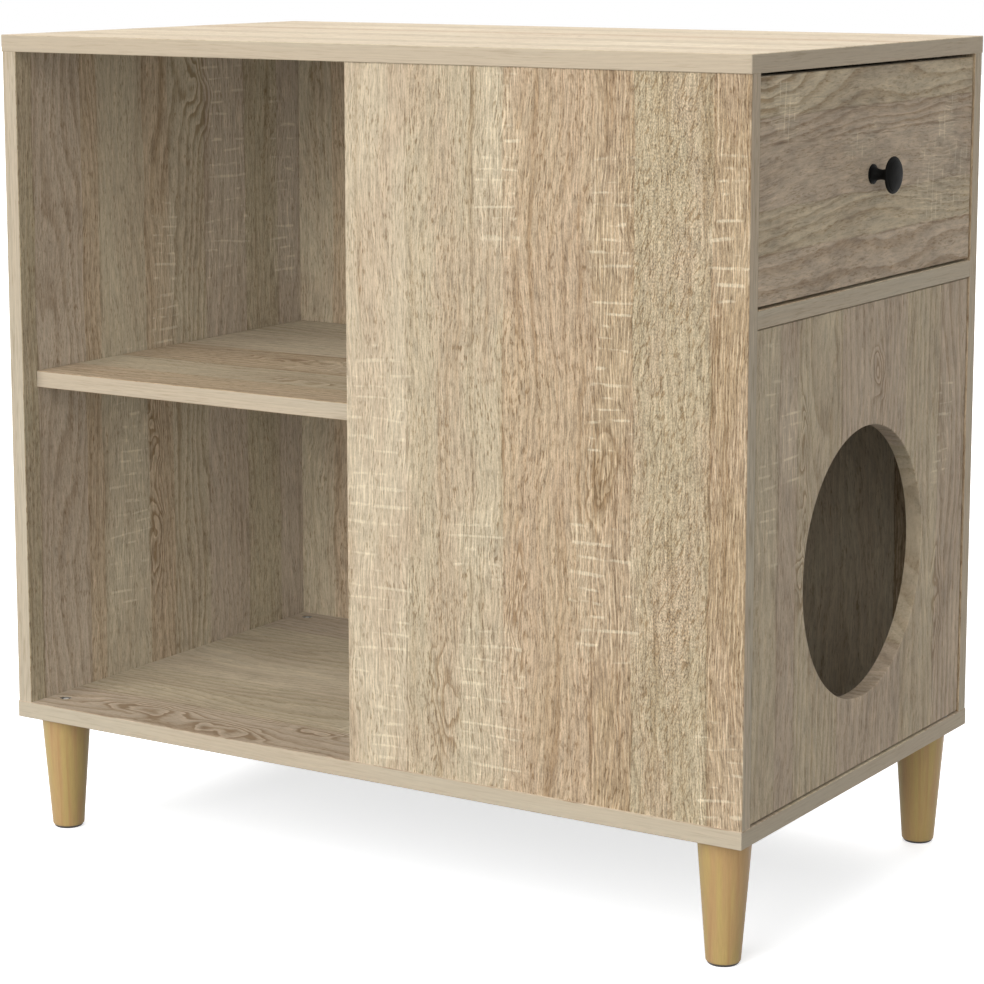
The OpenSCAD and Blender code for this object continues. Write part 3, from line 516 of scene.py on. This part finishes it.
def new_group(name, inputs, outputs):
    """A node group with named sockets: its tree, what it is given and what it puts out."""
    tree = bpy.data.node_groups.new(name, "ShaderNodeTree")
    for socket, kind, default in inputs:
        made = tree.interface.new_socket(name=socket, in_out="INPUT", socket_type=kind)
        if default is not None:
            made.default_value = default
    for socket, kind in outputs:
        tree.interface.new_socket(name=socket, in_out="OUTPUT", socket_type=kind)
    given = tree.nodes.new("NodeGroupInput").outputs
    return tree, given, tree.nodes.new("NodeGroupOutput").inputs


def group_node(tree, name, inputs):
    """The outputs of a shared effect placed in a material."""
    return put(tree, "ShaderNodeGroup", inputs, node_tree=bpy.data.node_groups[name]).outputs


# ---------------------------------------------------------------- shared effects


def arched_lines(tree, vector, across, knots, dash):
    """The figure's dark lines, which run round the knots, and the pale rim beside each."""
    field = noise(tree, vector, (85, 400, 85), 1, 0.4)
    field = plus(tree, field, ARCH_BEND, knots)
    field = plus(tree, across, 1 / LINE_PITCH, field)
    field = plus(tree, noise(tree, vector, (7, 26, 7), 1), LINE_WAVER, field)
    place = maths(tree, "FRACT", field)
    dark = times(tree, hump(tree, place, 0.35, 0.92, 1), plus(tree, dash, 0.8, 0.45))
    rim = times(tree, ease(tree, place, 0.0, 0.05), less(tree, 1, ease(tree, place, 0.10, 0.30)))
    return dark, rim


def saw_marks(tree, flat, parts, ripple, fine, dash, sawn, combing):
    """Light marks across the grain in leaning, broken rows, and fine combed lines along it."""
    lean = times(tree, noise(tree, flat, (200, 50, 200), 1), 2.6)
    row = plus(tree, parts["Y"], 1 / SAW_PITCH, lean)
    row = plus(tree, parts["X"], SAW_LEAN, row)
    row = maths(tree, "ABSOLUTE", less(tree, maths(tree, "FRACT", row), 0.5))
    row = less(tree, 1, ease(tree, row, 0.04, 0.15))
    broken = ease(tree, noise(tree, flat, (26, 10, 26), 2, 0.6), 0.45, 0.60)
    mark = times(tree, row, broken, plus(tree, dash, -0.9, 1.35))
    mark = times(tree, maths(tree, "ADD", mark, 0.14), sawn)
    comb = maths(tree, "SINE", plus(tree, parts["X"], 2 * math.pi / COMB_PITCH, ripple))
    comb = times(tree, ease(tree, comb, 0.1, 0.9), ease(tree, fine, 0.25, 0.75))
    comb = times(tree, comb, maths(tree, "MAXIMUM", combing, sawn))
    return plus(tree, comb, 0.60, mark, clamp=True)


def mottling_strokes(tree, vector):
    """Short dark strokes that lean across the grain."""
    leaning = put(
        tree, "ShaderNodeVectorRotate", {"Vector": vector, "Angle": STROKE_LEAN},
        rotation_type="Z_AXIS").outputs[0]
    return ease(tree, noise(tree, leaning, (1.6, 10, 1.6), 1), 0.58, 0.68)


def build_sawn_grain():
    """Sawn oak: fine and arched lines, streaks, pores, mottling, combed lines and saw marks."""
    tree, given, result = new_group(
        "Sawn grain",
        (("Vector", "NodeSocketVector", None),
         ("Tone", "NodeSocketColor", (0.6, 0.5, 0.35, 1)),
         ("Arches", "NodeSocketFloat", 0.5),
         ("Mottling", "NodeSocketFloat", 0.0),
         ("Combing", "NodeSocketFloat", 0.0),
         ("Saw marks", "NodeSocketFloat", 0.5),
         ("Knots", "NodeSocketFloat", 0.0),
         ("Seams", "NodeSocketFloat", 0.0),
         ("Clouds", "NodeSocketFloat", 0.2),
         ("Warmth", "NodeSocketFloat", 0.25),
         ("Grain", "NodeSocketFloat", 1.0)),
        (("Color", "NodeSocketColor"),
         ("Roughness", "NodeSocketFloat"),
         ("Height", "NodeSocketFloat")))

    # The whole figure wanders a little across the grain
    flat = given["Vector"]
    sway = times(tree, noise(tree, flat, (90, 240, 90), 1), LONG_BEND)
    ripple = noise(tree, flat, (12, 35, 12), 1)
    sway = plus(tree, ripple, SHORT_BEND, sway)
    vector = vector_maths(tree, "ADD", flat, combine(tree, sway))
    parts = split(tree, vector)

    fine = ease(tree, noise(tree, vector, (1.5, 28, 1.5), 3, 0.6), 0.32, 0.68)
    dash = noise(tree, vector, (1.3, 8.5, 1.3), 2, 0.6)
    grit = noise(tree, flat, (1.2, 2.1, 1.2), 1, 0.7)
    crowd = ease(tree, noise(tree, vector, (10, 55, 10), 1), 0.36, 0.64)
    streak = noise(tree, vector, (9, 330, 9), 2, 0.55)
    patch = noise(tree, vector, (35, 130, 35), 2)
    cloud = noise(tree, vector, (7.5, 30, 7.5), 2, 0.6)
    pore = times(tree, ease(tree, dash, 0.53, 0.65), plus(tree, crowd, 0.9, 0.4))
    arch, rim = arched_lines(tree, vector, parts["X"], given["Knots"], dash)
    arch = times(tree, arch, given["Arches"])
    rim = times(tree, rim, given["Arches"])
    mark = saw_marks(
        tree, flat, parts, ripple, fine, dash, given["Saw marks"], given["Combing"])
    stroke = times(tree, mottling_strokes(tree, vector), given["Mottling"])
    unmottled = plus(tree, given["Mottling"], MOTTLED_FADING, 1.0)

    # The tone, with its warm places, and what darkens it
    warmth = times(tree, ease(tree, patch, 0.42, 0.62), given["Warmth"])
    warm = blend_colour(tree, warmth, given["Tone"], WARM_PLACE)
    dark = blend_colour(tree, 1.0, warm, DARK_LINE, "MULTIPLY")
    shade = times(tree, pore, unmottled, SHADE["pores"])
    shade = plus(tree, ease(tree, streak, 0.52, 0.70), SHADE["streaks"], shade)
    shade = plus(tree, stroke, SHADE["strokes"], shade)
    shade = times(tree, shade, given["Grain"])
    shade = plus(tree, arch, SHADE["arches"], shade)
    shade = plus(tree, given["Seams"], ease(tree, fine, 0.9, 0.1), shade, clamp=True)
    colour = blend_colour(tree, shade, warm, dark)
    colour = blend_colour(tree, times(tree, mark, SAW_LIGHT), colour, SAW_MARK)

    # What makes it a little lighter or darker
    lift = times(tree, less(tree, fine, 0.5), LIFT["lines"])
    lift = plus(tree, less(tree, dash, 0.45), LIFT["dashes"], lift)
    lift = times(tree, lift, unmottled)
    speck = plus(tree, given["Mottling"], LIFT["mottled grit"], LIFT["grit"])
    lift = plus(tree, less(tree, grit, 0.5), speck, lift)
    lift = plus(tree, lift, given["Grain"], 1.0)
    lift = plus(tree, rim, LIFT["rims"], lift)
    lift = plus(tree, given["Seams"], LIFT["seams"], lift)
    lift = plus(tree, less(tree, cloud, 0.5), given["Clouds"], lift)
    lift = plus(tree, less(tree, 0.5, patch), given["Clouds"], lift)
    tree.links.new(lifted(tree, colour, lift), result["Color"])

    roughness = plus(tree, pore, 0.14, plus(tree, fine, 0.08, 0.56))
    tree.links.new(roughness, result["Roughness"])
    height = plus(tree, arch, -0.3, plus(tree, pore, -0.6, fine))
    tree.links.new(height, result["Height"])


def build_placed_figure():
    """Masks for figure at a chosen place: a ragged patch, and a knot that lines run round."""
    sockets = (
        ("Vector", "NodeSocketVector", None),
        ("Centre", "NodeSocketVector", (0, 0, 0)),
        ("Reach", "NodeSocketVector", (0.03, 0.06, 1)))
    for name, output in (("Ragged patch", "Mask"), ("Knot", "Rise")):
        tree, given, result = new_group(name, sockets, ((output, "NodeSocketFloat"),))
        bend = put(tree, "ShaderNodeTexNoise", {
            "Vector": scaled(tree, given["Vector"], (35 * MM, 50 * MM, 1)),
            "Scale": 1.0, "Detail": 2.0}).outputs["Color"]
        away = vector_maths(tree, "MULTIPLY_ADD", bend, BEND, given["Vector"])
        away = vector_maths(tree, "SUBTRACT", away, [length / 2 for length in BEND])
        away = vector_maths(tree, "SUBTRACT", away, given["Centre"])
        away = vector_maths(tree, "DIVIDE", away, given["Reach"])
        parts = split(tree, away)
        if name == "Knot":
            square = times(tree, parts["X"], parts["X"])
            square = plus(tree, parts["Y"], parts["Y"], square)
            found = maths(tree, "EXPONENT", times(tree, square, -1.0))
        else:
            sides = [maths(tree, "ABSOLUTE", parts[axis]) for axis in "XY"]
            ragged = plus(tree, noise(tree, given["Vector"], (12, 16, 500), 2, 0.6), 0.9, -0.45)
            most = maths(tree, "ADD", maths(tree, "MAXIMUM", *sides), ragged)
            found = less(tree, 1, ease(tree, most, 0.82, 1.12))
        tree.links.new(found, result[output])


def build_fine_speckle():
    """A small even unevenness for cast, coated and moulded surfaces."""
    tree, given, result = new_group(
        "Fine speckle",
        (("Vector", "NodeSocketVector", None), ("Size", "NodeSocketFloat", 0.001)),
        (("Mask", "NodeSocketFloat"), ("Height", "NodeSocketFloat")))
    scale = maths(tree, "DIVIDE", 1.0, given["Size"])
    vector = put(
        tree, "ShaderNodeVectorMath", {0: given["Vector"], 3: scale}, operation="SCALE").outputs[0]
    tree.links.new(noise(tree, scaled(tree, vector, (14, 14, 14)), None, 3), result["Mask"])
    tree.links.new(noise(tree, vector, None, 2, 0.6), result["Height"])


# ---------------------------------------------------------------- materials


def new_material(name):
    """An empty finish: itself, its tree, its shader and the coordinates that its patterns read."""
    material = bpy.data.materials.new(name)
    material.use_nodes = True
    tree = material.node_tree
    tree.nodes.clear()
    shader = tree.nodes.new("ShaderNodeBsdfPrincipled")
    output = tree.nodes.new("ShaderNodeOutputMaterial")
    tree.links.new(shader.outputs[0], output.inputs[0])
    coords = tree.nodes.new("ShaderNodeTexCoord")
    return material, tree, shader, coords.outputs


def relief(tree, shader, height, depth, strength):
    """Gives the surface a fine relief of a depth in metres."""
    bump = put(
        tree, "ShaderNodeBump", {"Strength": strength, "Distance": depth, "Height": height})
    tree.links.new(bump.outputs[0], shader.inputs["Normal"])


def placed_figure(tree, flat, low, size, places, group, how):
    """The masks of all of a board's patches or knots, put together."""
    total = 0.0
    for across, along, *reach in places:
        centre = (low.x + across * size.x, low.y + along * size.y, 0)
        found = group_node(
            tree, group, {"Vector": flat, "Centre": centre, "Reach": (*reach, THROUGH)})[0]
        total = maths(tree, how, found, total)
    return total


def strip_figure(tree, flat, across, low, width, strips, tones):
    """A board's strips: their tone, their figure, their combed lines and the seams between them."""
    across = plus(tree, noise(tree, flat, (30, 90, 30), 2), STRIP_SWAY, across)
    across = put(tree, "ShaderNodeMapRange", {
        "Value": across, "From Min": low + STRIP_SWAY / 2,
        "From Max": low + width + STRIP_SWAY / 2}).outputs[0]
    tone = ramp(tree, across, [(strip[0], (*getattr(tones, strip[1]), 1)) for strip in strips])[0]
    figure, combing = ramp(tree, across, [
        (start, (arches, mottling, TONE_GRAIN[name], combed))
        for start, name, arches, mottling, combed in strips])
    seams = ramp(tree, across, [
        (strip[0] + step * SEAM / width, (0, 0, 0, 1) if step else WHITE)
        for strip in strips[1:] for step in (-1, 0, 1)], "LINEAR")[0]
    held = ease(tree, noise(tree, flat, (50, 130, 50), 1), 0.30, 0.55)
    return tone, split(tree, figure), combing, times(tree, seams, held)


def board_material(node_name, number, tones):
    """The sawn-oak finish of one board: its own strips on the faces, plain band on the edges."""
    sheet = BOARDS[node_name]
    turn = Euler(LAYS[sheet["lay"]])
    material, tree, shader, coords = new_material("Sawn oak " + node_name.replace("_", " "))
    flat = turned(tree, coords["Object"], turn)
    parts = split(tree, flat)
    way = turned(tree, coords["Normal"], turn, vector_type="NORMAL")
    facing = split(tree, vector_maths(tree, "ABSOLUTE", way))
    on_broad_side = maths(tree, "GREATER_THAN", facing["Z"], 0.5)
    on_end = maths(tree, "GREATER_THAN", facing["Y"], 0.5)

    corners = [turn.to_matrix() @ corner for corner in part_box(node_name)]
    low = Vector(min(pair) for pair in zip(*corners))
    size = Vector(max(pair) for pair in zip(*corners)) - low
    inside = []
    for axis, start, length in ("X", low.x, size.x), ("Y", low.y, size.y):
        off_middle = maths(tree, "ABSOLUTE", less(tree, parts[axis], start + length / 2))
        inside.append(maths(tree, "LESS_THAN", off_middle, length / 2 - CUT_EDGE))
    on_face = maths(tree, "MAXIMUM", on_broad_side, times(tree, *inside))

    tone, figure, combing, seams = strip_figure(
        tree, flat, parts["X"], low.x, size.x, sheet["strips"], tones)
    tone = blend_colour(tree, on_face, (*tones.band, 1), tone)
    sawn = placed_figure(tree, flat, low, size, sheet["sawn"], "Ragged patch", "MAXIMUM")
    knots = placed_figure(tree, flat, low, size, sheet["knots"], "Knot", "ADD")
    mottled = placed_figure(tree, flat, low, size, sheet.get("mottled", ()), "Knot", "ADD")
    arches = plus(tree, ease(tree, knots, 0.02, 0.45), KNOT_ARCHES, figure["X"])
    mottling = plus(tree, mottled, MOTTLED, figure["Y"])
    rim = plus(tree, on_broad_side, 1 - BAND_GRAIN, BAND_GRAIN)
    strength = times(tree, figure["Z"], rim, sheet["grain"] * tones.grain)

    # On an edge the pattern runs on through the board, and along the edge
    long_edge = combine(tree, parts["Z"], parts["Y"])
    end_edge = combine(tree, parts["Z"], parts["X"])
    edge = scaled(tree, blend_vector(tree, on_end, long_edge, end_edge), (1, 4, 1))
    face = combine(tree, parts["X"], parts["Y"], times(tree, parts["Z"], 0.5))
    vector = blend_vector(tree, on_face, edge, face)
    vector = vector_maths(tree, "ADD", vector, [step * number for step in SHEET_STEP])
    grain = group_node(tree, "Sawn grain", {
        "Vector": vector,
        "Tone": tone,
        "Arches": times(tree, arches, on_face),
        "Mottling": times(tree, mottling, on_face),
        "Combing": times(tree, combing, on_face),
        "Saw marks": times(tree, sawn, on_face),
        "Knots": times(tree, knots, KNOT_RISE),
        "Seams": times(tree, seams, times(tree, on_face, SEAM_SHADE)),
        "Clouds": times(tree, sheet["clouds"], on_face),
        "Warmth": sheet["warmth"],
        "Grain": strength})
    bounced = tree.nodes.new("ShaderNodeLightPath").outputs["Is Diffuse Ray"]
    colour = blend_colour(tree, bounced, grain["Color"], (*tones.bounce, 1))
    tree.links.new(colour, shader.inputs["Base Color"])
    tree.links.new(grain["Roughness"], shader.inputs["Roughness"])
    shader.inputs["Specular IOR Level"].default_value = 0.22
    relief(tree, shader, grain["Height"], depth=0.12 * MM, strength=0.5)
    return material


def drawer_board_material(colour):
    """Pale foil with a fine level grain on the drawer's sides and back."""
    material, tree, shader, coords = new_material("Pale foil")
    grain = group_node(tree, "Sawn grain", {
        "Vector": turned(tree, coords["Object"], LAYS["level_long"]),
        "Tone": (*colour, 1), "Arches": 0.15, "Saw marks": 0.0, "Mottling": 0.0, "Grain": 0.6})
    tree.links.new(grain["Color"], shader.inputs["Base Color"])
    tree.links.new(grain["Roughness"], shader.inputs["Roughness"])
    relief(tree, shader, grain["Height"], depth=0.1 * MM, strength=0.4)
    return material


def pine_material(node_name, bearing, finish):
    """Solid pine of one turned leg: rings round a pith outside the leg, cut by its taper."""
    material, tree, shader, coords = new_material("Pine " + node_name.replace("_", " "))
    low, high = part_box(node_name)
    pith = (low + high) / 2 + finish.pith * Vector((math.cos(bearing), math.sin(bearing), 0))
    pith.z = 0
    vector = put(
        tree, "ShaderNodeMapping", {"Vector": coords["Object"], "Location": -pith}).outputs[0]
    parts = split(tree, vector)
    away = put(
        tree, "ShaderNodeVectorMath", {0: combine(tree, parts["X"], parts["Y"])},
        operation="LENGTH").outputs["Value"]
    sway = times(tree, noise(tree, vector, (50, 50, 300), 2), 2.5)
    ring = maths(tree, "FRACT", plus(tree, away, 1 / finish.ring, sway))
    clear = ease(tree, noise(tree, vector, (12, 12, 200), 1), 0.35, 0.6)
    late = times(tree, hump(tree, ring, 0.45, 0.90, 1), clear)
    fibre = noise(tree, vector, (1.2, 1.2, 45), 3, 0.6)
    broad = ease(tree, noise(tree, vector, (9, 9, 160), 2), 0.35, 0.65)
    colour = blend_colour(tree, broad, (*finish.early, 1), (*finish.warm, 1))
    colour = blend_colour(tree, times(tree, late, 0.60), colour, (*finish.late, 1))
    lift = plus(tree, less(tree, fibre, 0.5), 0.28, 1.0)
    tree.links.new(lifted(tree, colour, lift), shader.inputs["Base Color"])
    tree.links.new(plus(tree, late, -0.12, 0.52), shader.inputs["Roughness"])
    relief(tree, shader, maths(tree, "ADD", fibre, late), depth=0.08 * MM, strength=0.4)
    return material


def plain_wood_material(name, colour):
    """Fine even wood for small turned pieces."""
    material, tree, shader, coords = new_material(name)
    fibre = noise(tree, coords["Object"], (2, 2, 1.2), 3, 0.6)
    lift = plus(tree, less(tree, fibre, 0.5), 0.5, 1.0)
    tree.links.new(lifted(tree, (*colour, 1), lift), shader.inputs["Base Color"])
    shader.inputs["Roughness"].default_value = 0.55
    relief(tree, shader, fibre, depth=0.1 * MM, strength=0.5)
    return material


def hard_material(name, colour):
    """Metal, coating or plastic with a fine unevenness in its gloss and surface."""
    metallic, roughness, width, depth, coat, gloss = HARD_FINISHES[name]
    material, tree, shader, coords = new_material(name)
    speckle = group_node(
        tree, "Fine speckle", {"Vector": coords["Object"], "Size": width * MM})
    lift = plus(tree, less(tree, speckle["Mask"], 0.5), UNEVENNESS, 1.0)
    tree.links.new(lifted(tree, (*colour, 1), lift), shader.inputs["Base Color"])
    uneven = plus(tree, speckle["Mask"], UNEVENNESS, roughness - UNEVENNESS / 2)
    tree.links.new(uneven, shader.inputs["Roughness"])
    shader.inputs["Metallic"].default_value = metallic
    shader.inputs["Coat Weight"].default_value = coat
    shader.inputs["Specular IOR Level"].default_value = gloss
    relief(tree, shader, speckle["Height"], depth=depth * MM, strength=0.6)
    return material


def dress(material, *node_names):
    """Gives CAD nodes their finish."""
    for node_name in node_names:
        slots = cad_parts[node_name].material_slots
        if not slots:
            raise RuntimeError(f"{node_name} has no material slot")
        for slot in slots:
            slot.material = material


# ---------------------------------------------------------------- stage


def seen_directly(tree):
    """1 where the camera or a reflection sees a surface, 0 where it only lights others."""
    path = tree.nodes.new("ShaderNodeLightPath").outputs
    return maths(tree, "MAXIMUM", path["Is Camera Ray"], path["Is Glossy Ray"])


def add_floor(scene, look):
    """A wide pale floor that looks nearly white and throws little light back."""
    mesh = bmesh.new()
    bmesh.ops.create_grid(mesh, x_segments=1, y_segments=1, size=FLOOR_REACH)
    data = bpy.data.meshes.new("floor")
    mesh.to_mesh(data)
    mesh.free()
    floor = bpy.data.objects.new("floor", data)
    scene.collection.objects.link(floor)
    material, tree, shader, _ = new_material("Pale floor")
    shown = seen_directly(tree)
    colour = blend_colour(tree, shown, FLOOR_LIT, FLOOR_SEEN)
    tree.links.new(colour, shader.inputs["Base Color"])
    shader.inputs["Roughness"].default_value = 0.9
    shader.inputs["Specular IOR Level"].default_value = 0.0
    shader.inputs["Emission Color"].default_value = WHITE
    tree.links.new(times(tree, shown, look.glow), shader.inputs["Emission Strength"])
    data.materials.append(material)


def add_room(scene, look):
    """An even light from all round, which the camera and reflections see as white."""
    world = bpy.data.worlds.new("Room")
    world.use_nodes = True
    tree = world.node_tree
    tree.nodes.clear()
    strength = put(tree, "ShaderNodeMapRange", {
        "Value": seen_directly(tree), "To Min": look.room, "To Max": 1.0}).outputs[0]
    light = put(tree, "ShaderNodeBackground", {"Color": WHITE, "Strength": strength})
    tree.links.new(light.outputs[0], tree.nodes.new("ShaderNodeOutputWorld").inputs[0])
    scene.world = world


def add_lamps(scene, look):
    """Wide soft lamps that are infinitely far away."""
    for name, rise, turn, spread in LAMPS:
        lamp = bpy.data.lights.new(name, "SUN")
        lamp.energy = getattr(look, name)
        lamp.angle = math.radians(spread)
        holder = bpy.data.objects.new(name + " lamp", lamp)
        holder.rotation_euler = (math.radians(90 - rise), 0, math.radians(-turn))
        scene.collection.objects.link(holder)


def add_camera(scene, look):
    """The camera at the photograph's viewing angle."""
    data = bpy.data.cameras.new("Camera")
    data.sensor_width = 36
    data.lens = look.lens
    data.shift_y = look.shift
    data.clip_start = 0.05
    camera = bpy.data.objects.new("Camera", data)
    camera.location = look.station
    camera.rotation_euler = (math.radians(90) - look.pitch, 0, look.yaw)
    scene.collection.objects.link(camera)
    scene.camera = camera


# ---------------------------------------------------------------- operators


class CAT_HOUSE_OT_stage(bpy.types.Operator):
    """Set the floor, the lamps and the camera"""
    bl_idname = "cat_house.stage"
    bl_label = "Stage"

    def execute(self, context):
        scene = context.scene
        for add in (add_floor, add_room, add_lamps, add_camera):
            add(scene, scene.cat_house_stage)
        scene.view_settings.view_transform = "Standard"
        return {"FINISHED"}


class CAT_HOUSE_OT_effects(bpy.types.Operator):
    """Build the node groups that the finishes share"""
    bl_idname = "cat_house.effects"
    bl_label = "Shared effects"

    def execute(self, context):
        build_sawn_grain()
        build_placed_figure()
        build_fine_speckle()
        return {"FINISHED"}


class CAT_HOUSE_OT_boards(bpy.types.Operator):
    """Give every board its own sheet of sawn-oak print"""
    bl_idname = "cat_house.boards"
    bl_label = "Boards"

    def execute(self, context):
        for number, name in enumerate(BOARDS):
            dress(board_material(name, number, context.scene.cat_house_boards), name)
        return {"FINISHED"}


class CAT_HOUSE_OT_drawer(bpy.types.Operator):
    """Finish the drawer's sides, back and bottom"""
    bl_idname = "cat_house.drawer"
    bl_label = "Drawer box"

    def execute(self, context):
        tones = context.scene.cat_house_boards
        foil = drawer_board_material(tones.foil)
        dress(foil, "drawer_side_front", "drawer_side_back", "drawer_back")
        dress(hard_material("Lacquered hardboard", tones.hardboard), "drawer_bottom")
        return {"FINISHED"}


class CAT_HOUSE_OT_legs(bpy.types.Operator):
    """Finish the four turned legs and their glides"""
    bl_idname = "cat_house.legs"
    bl_label = "Legs"

    def execute(self, context):
        finish = context.scene.cat_house_legs
        for name, bearing in PITH_BEARINGS.items():
            dress(pine_material(name, math.radians(bearing), finish), name)
        glide = context.scene.cat_house_fittings.glide
        dress(hard_material("Glide plastic", glide), "leg_glides")
        return {"FINISHED"}


class CAT_HOUSE_OT_knob(bpy.types.Operator):
    """Finish the knob"""
    bl_idname = "cat_house.knob"
    bl_label = "Knob"

    def execute(self, context):
        enamel = context.scene.cat_house_fittings.enamel
        dress(hard_material("Satin enamel", enamel), "knob")
        return {"FINISHED"}


class CAT_HOUSE_OT_fittings(bpy.types.Operator):
    """Finish the rails, runners, rollers, screws, bolts, pins, cams, dowels and catch"""
    bl_idname = "cat_house.fittings"
    bl_label = "Fittings"

    def execute(self, context):
        look = context.scene.cat_house_fittings
        dress(hard_material("Zinc plate", look.zinc),
              "shelf_pins", "leg_inserts", "panel_screws", "cam_bolts", "drawer_screws",
              "knob_screw", "pivot_pins", "catch_plate", "rail_screws", "runner_screws",
              "catch_screws", "plate_screws")
        # The domed bolts: their own pale steel, plus a painted gleam from a colour that is lit like
        # a diffuse surface
        dress(hard_material("Bright steel", look.steel), "leg_bolts")
        dress(hard_material("Cast zinc", look.cam), "cam_locks")
        dress(hard_material("Powder coat", look.coat),
              "rail_front", "rail_back", "runner_front", "runner_back")
        dress(hard_material("Nylon", look.nylon),
              "rail_rollers", "drawer_rollers", "pivot_bushes")
        dress(hard_material("Catch plastic", look.catch), "door_catch")
        dress(plain_wood_material("Beech", look.beech), "dowels", "drawer_dowels")
        return {"FINISHED"}


class CAT_HOUSE_PT_panel(bpy.types.Panel):
    """Cat house settings and steps"""
    bl_idname = "CAT_HOUSE_PT_panel"
    bl_label = "Cat house"
    bl_space_type = "VIEW_3D"
    bl_region_type = "UI"
    bl_category = "Cat house"

    def draw(self, context):
        layout = self.layout
        for operator in OPERATORS:
            layout.operator(operator.bl_idname)
        for name in SETTINGS:
            box = layout.box()
            group = getattr(context.scene, name)
            for prop in group.bl_rna.properties:
                if not prop.is_readonly and prop.identifier != "name":
                    box.prop(group, prop.identifier)


OPERATORS = (
    CAT_HOUSE_OT_stage,
    CAT_HOUSE_OT_effects,
    CAT_HOUSE_OT_boards,
    CAT_HOUSE_OT_drawer,
    CAT_HOUSE_OT_legs,
    CAT_HOUSE_OT_knob,
    CAT_HOUSE_OT_fittings,
)
SETTINGS = {
    "cat_house_boards": CAT_HOUSE_PG_boards,
    "cat_house_legs": CAT_HOUSE_PG_legs,
    "cat_house_fittings": CAT_HOUSE_PG_fittings,
    "cat_house_stage": CAT_HOUSE_PG_stage,
}


def register():
    for kind in (*SETTINGS.values(), *OPERATORS, CAT_HOUSE_PT_panel):
        bpy.utils.register_class(kind)
    for name, kind in SETTINGS.items():
        setattr(bpy.types.Scene, name, PointerProperty(type=kind))


def unregister():
    for name in SETTINGS:
        delattr(bpy.types.Scene, name)
    for kind in reversed((*SETTINGS.values(), *OPERATORS, CAT_HOUSE_PT_panel)):
        bpy.utils.unregister_class(kind)


def main():
    register()
    bpy.ops.cat_house.stage()
    bpy.ops.cat_house.effects()
    bpy.ops.cat_house.boards()
    bpy.ops.cat_house.drawer()
    bpy.ops.cat_house.legs()
    bpy.ops.cat_house.knob()
    bpy.ops.cat_house.fittings()


if __name__ == "__main__":
    main()
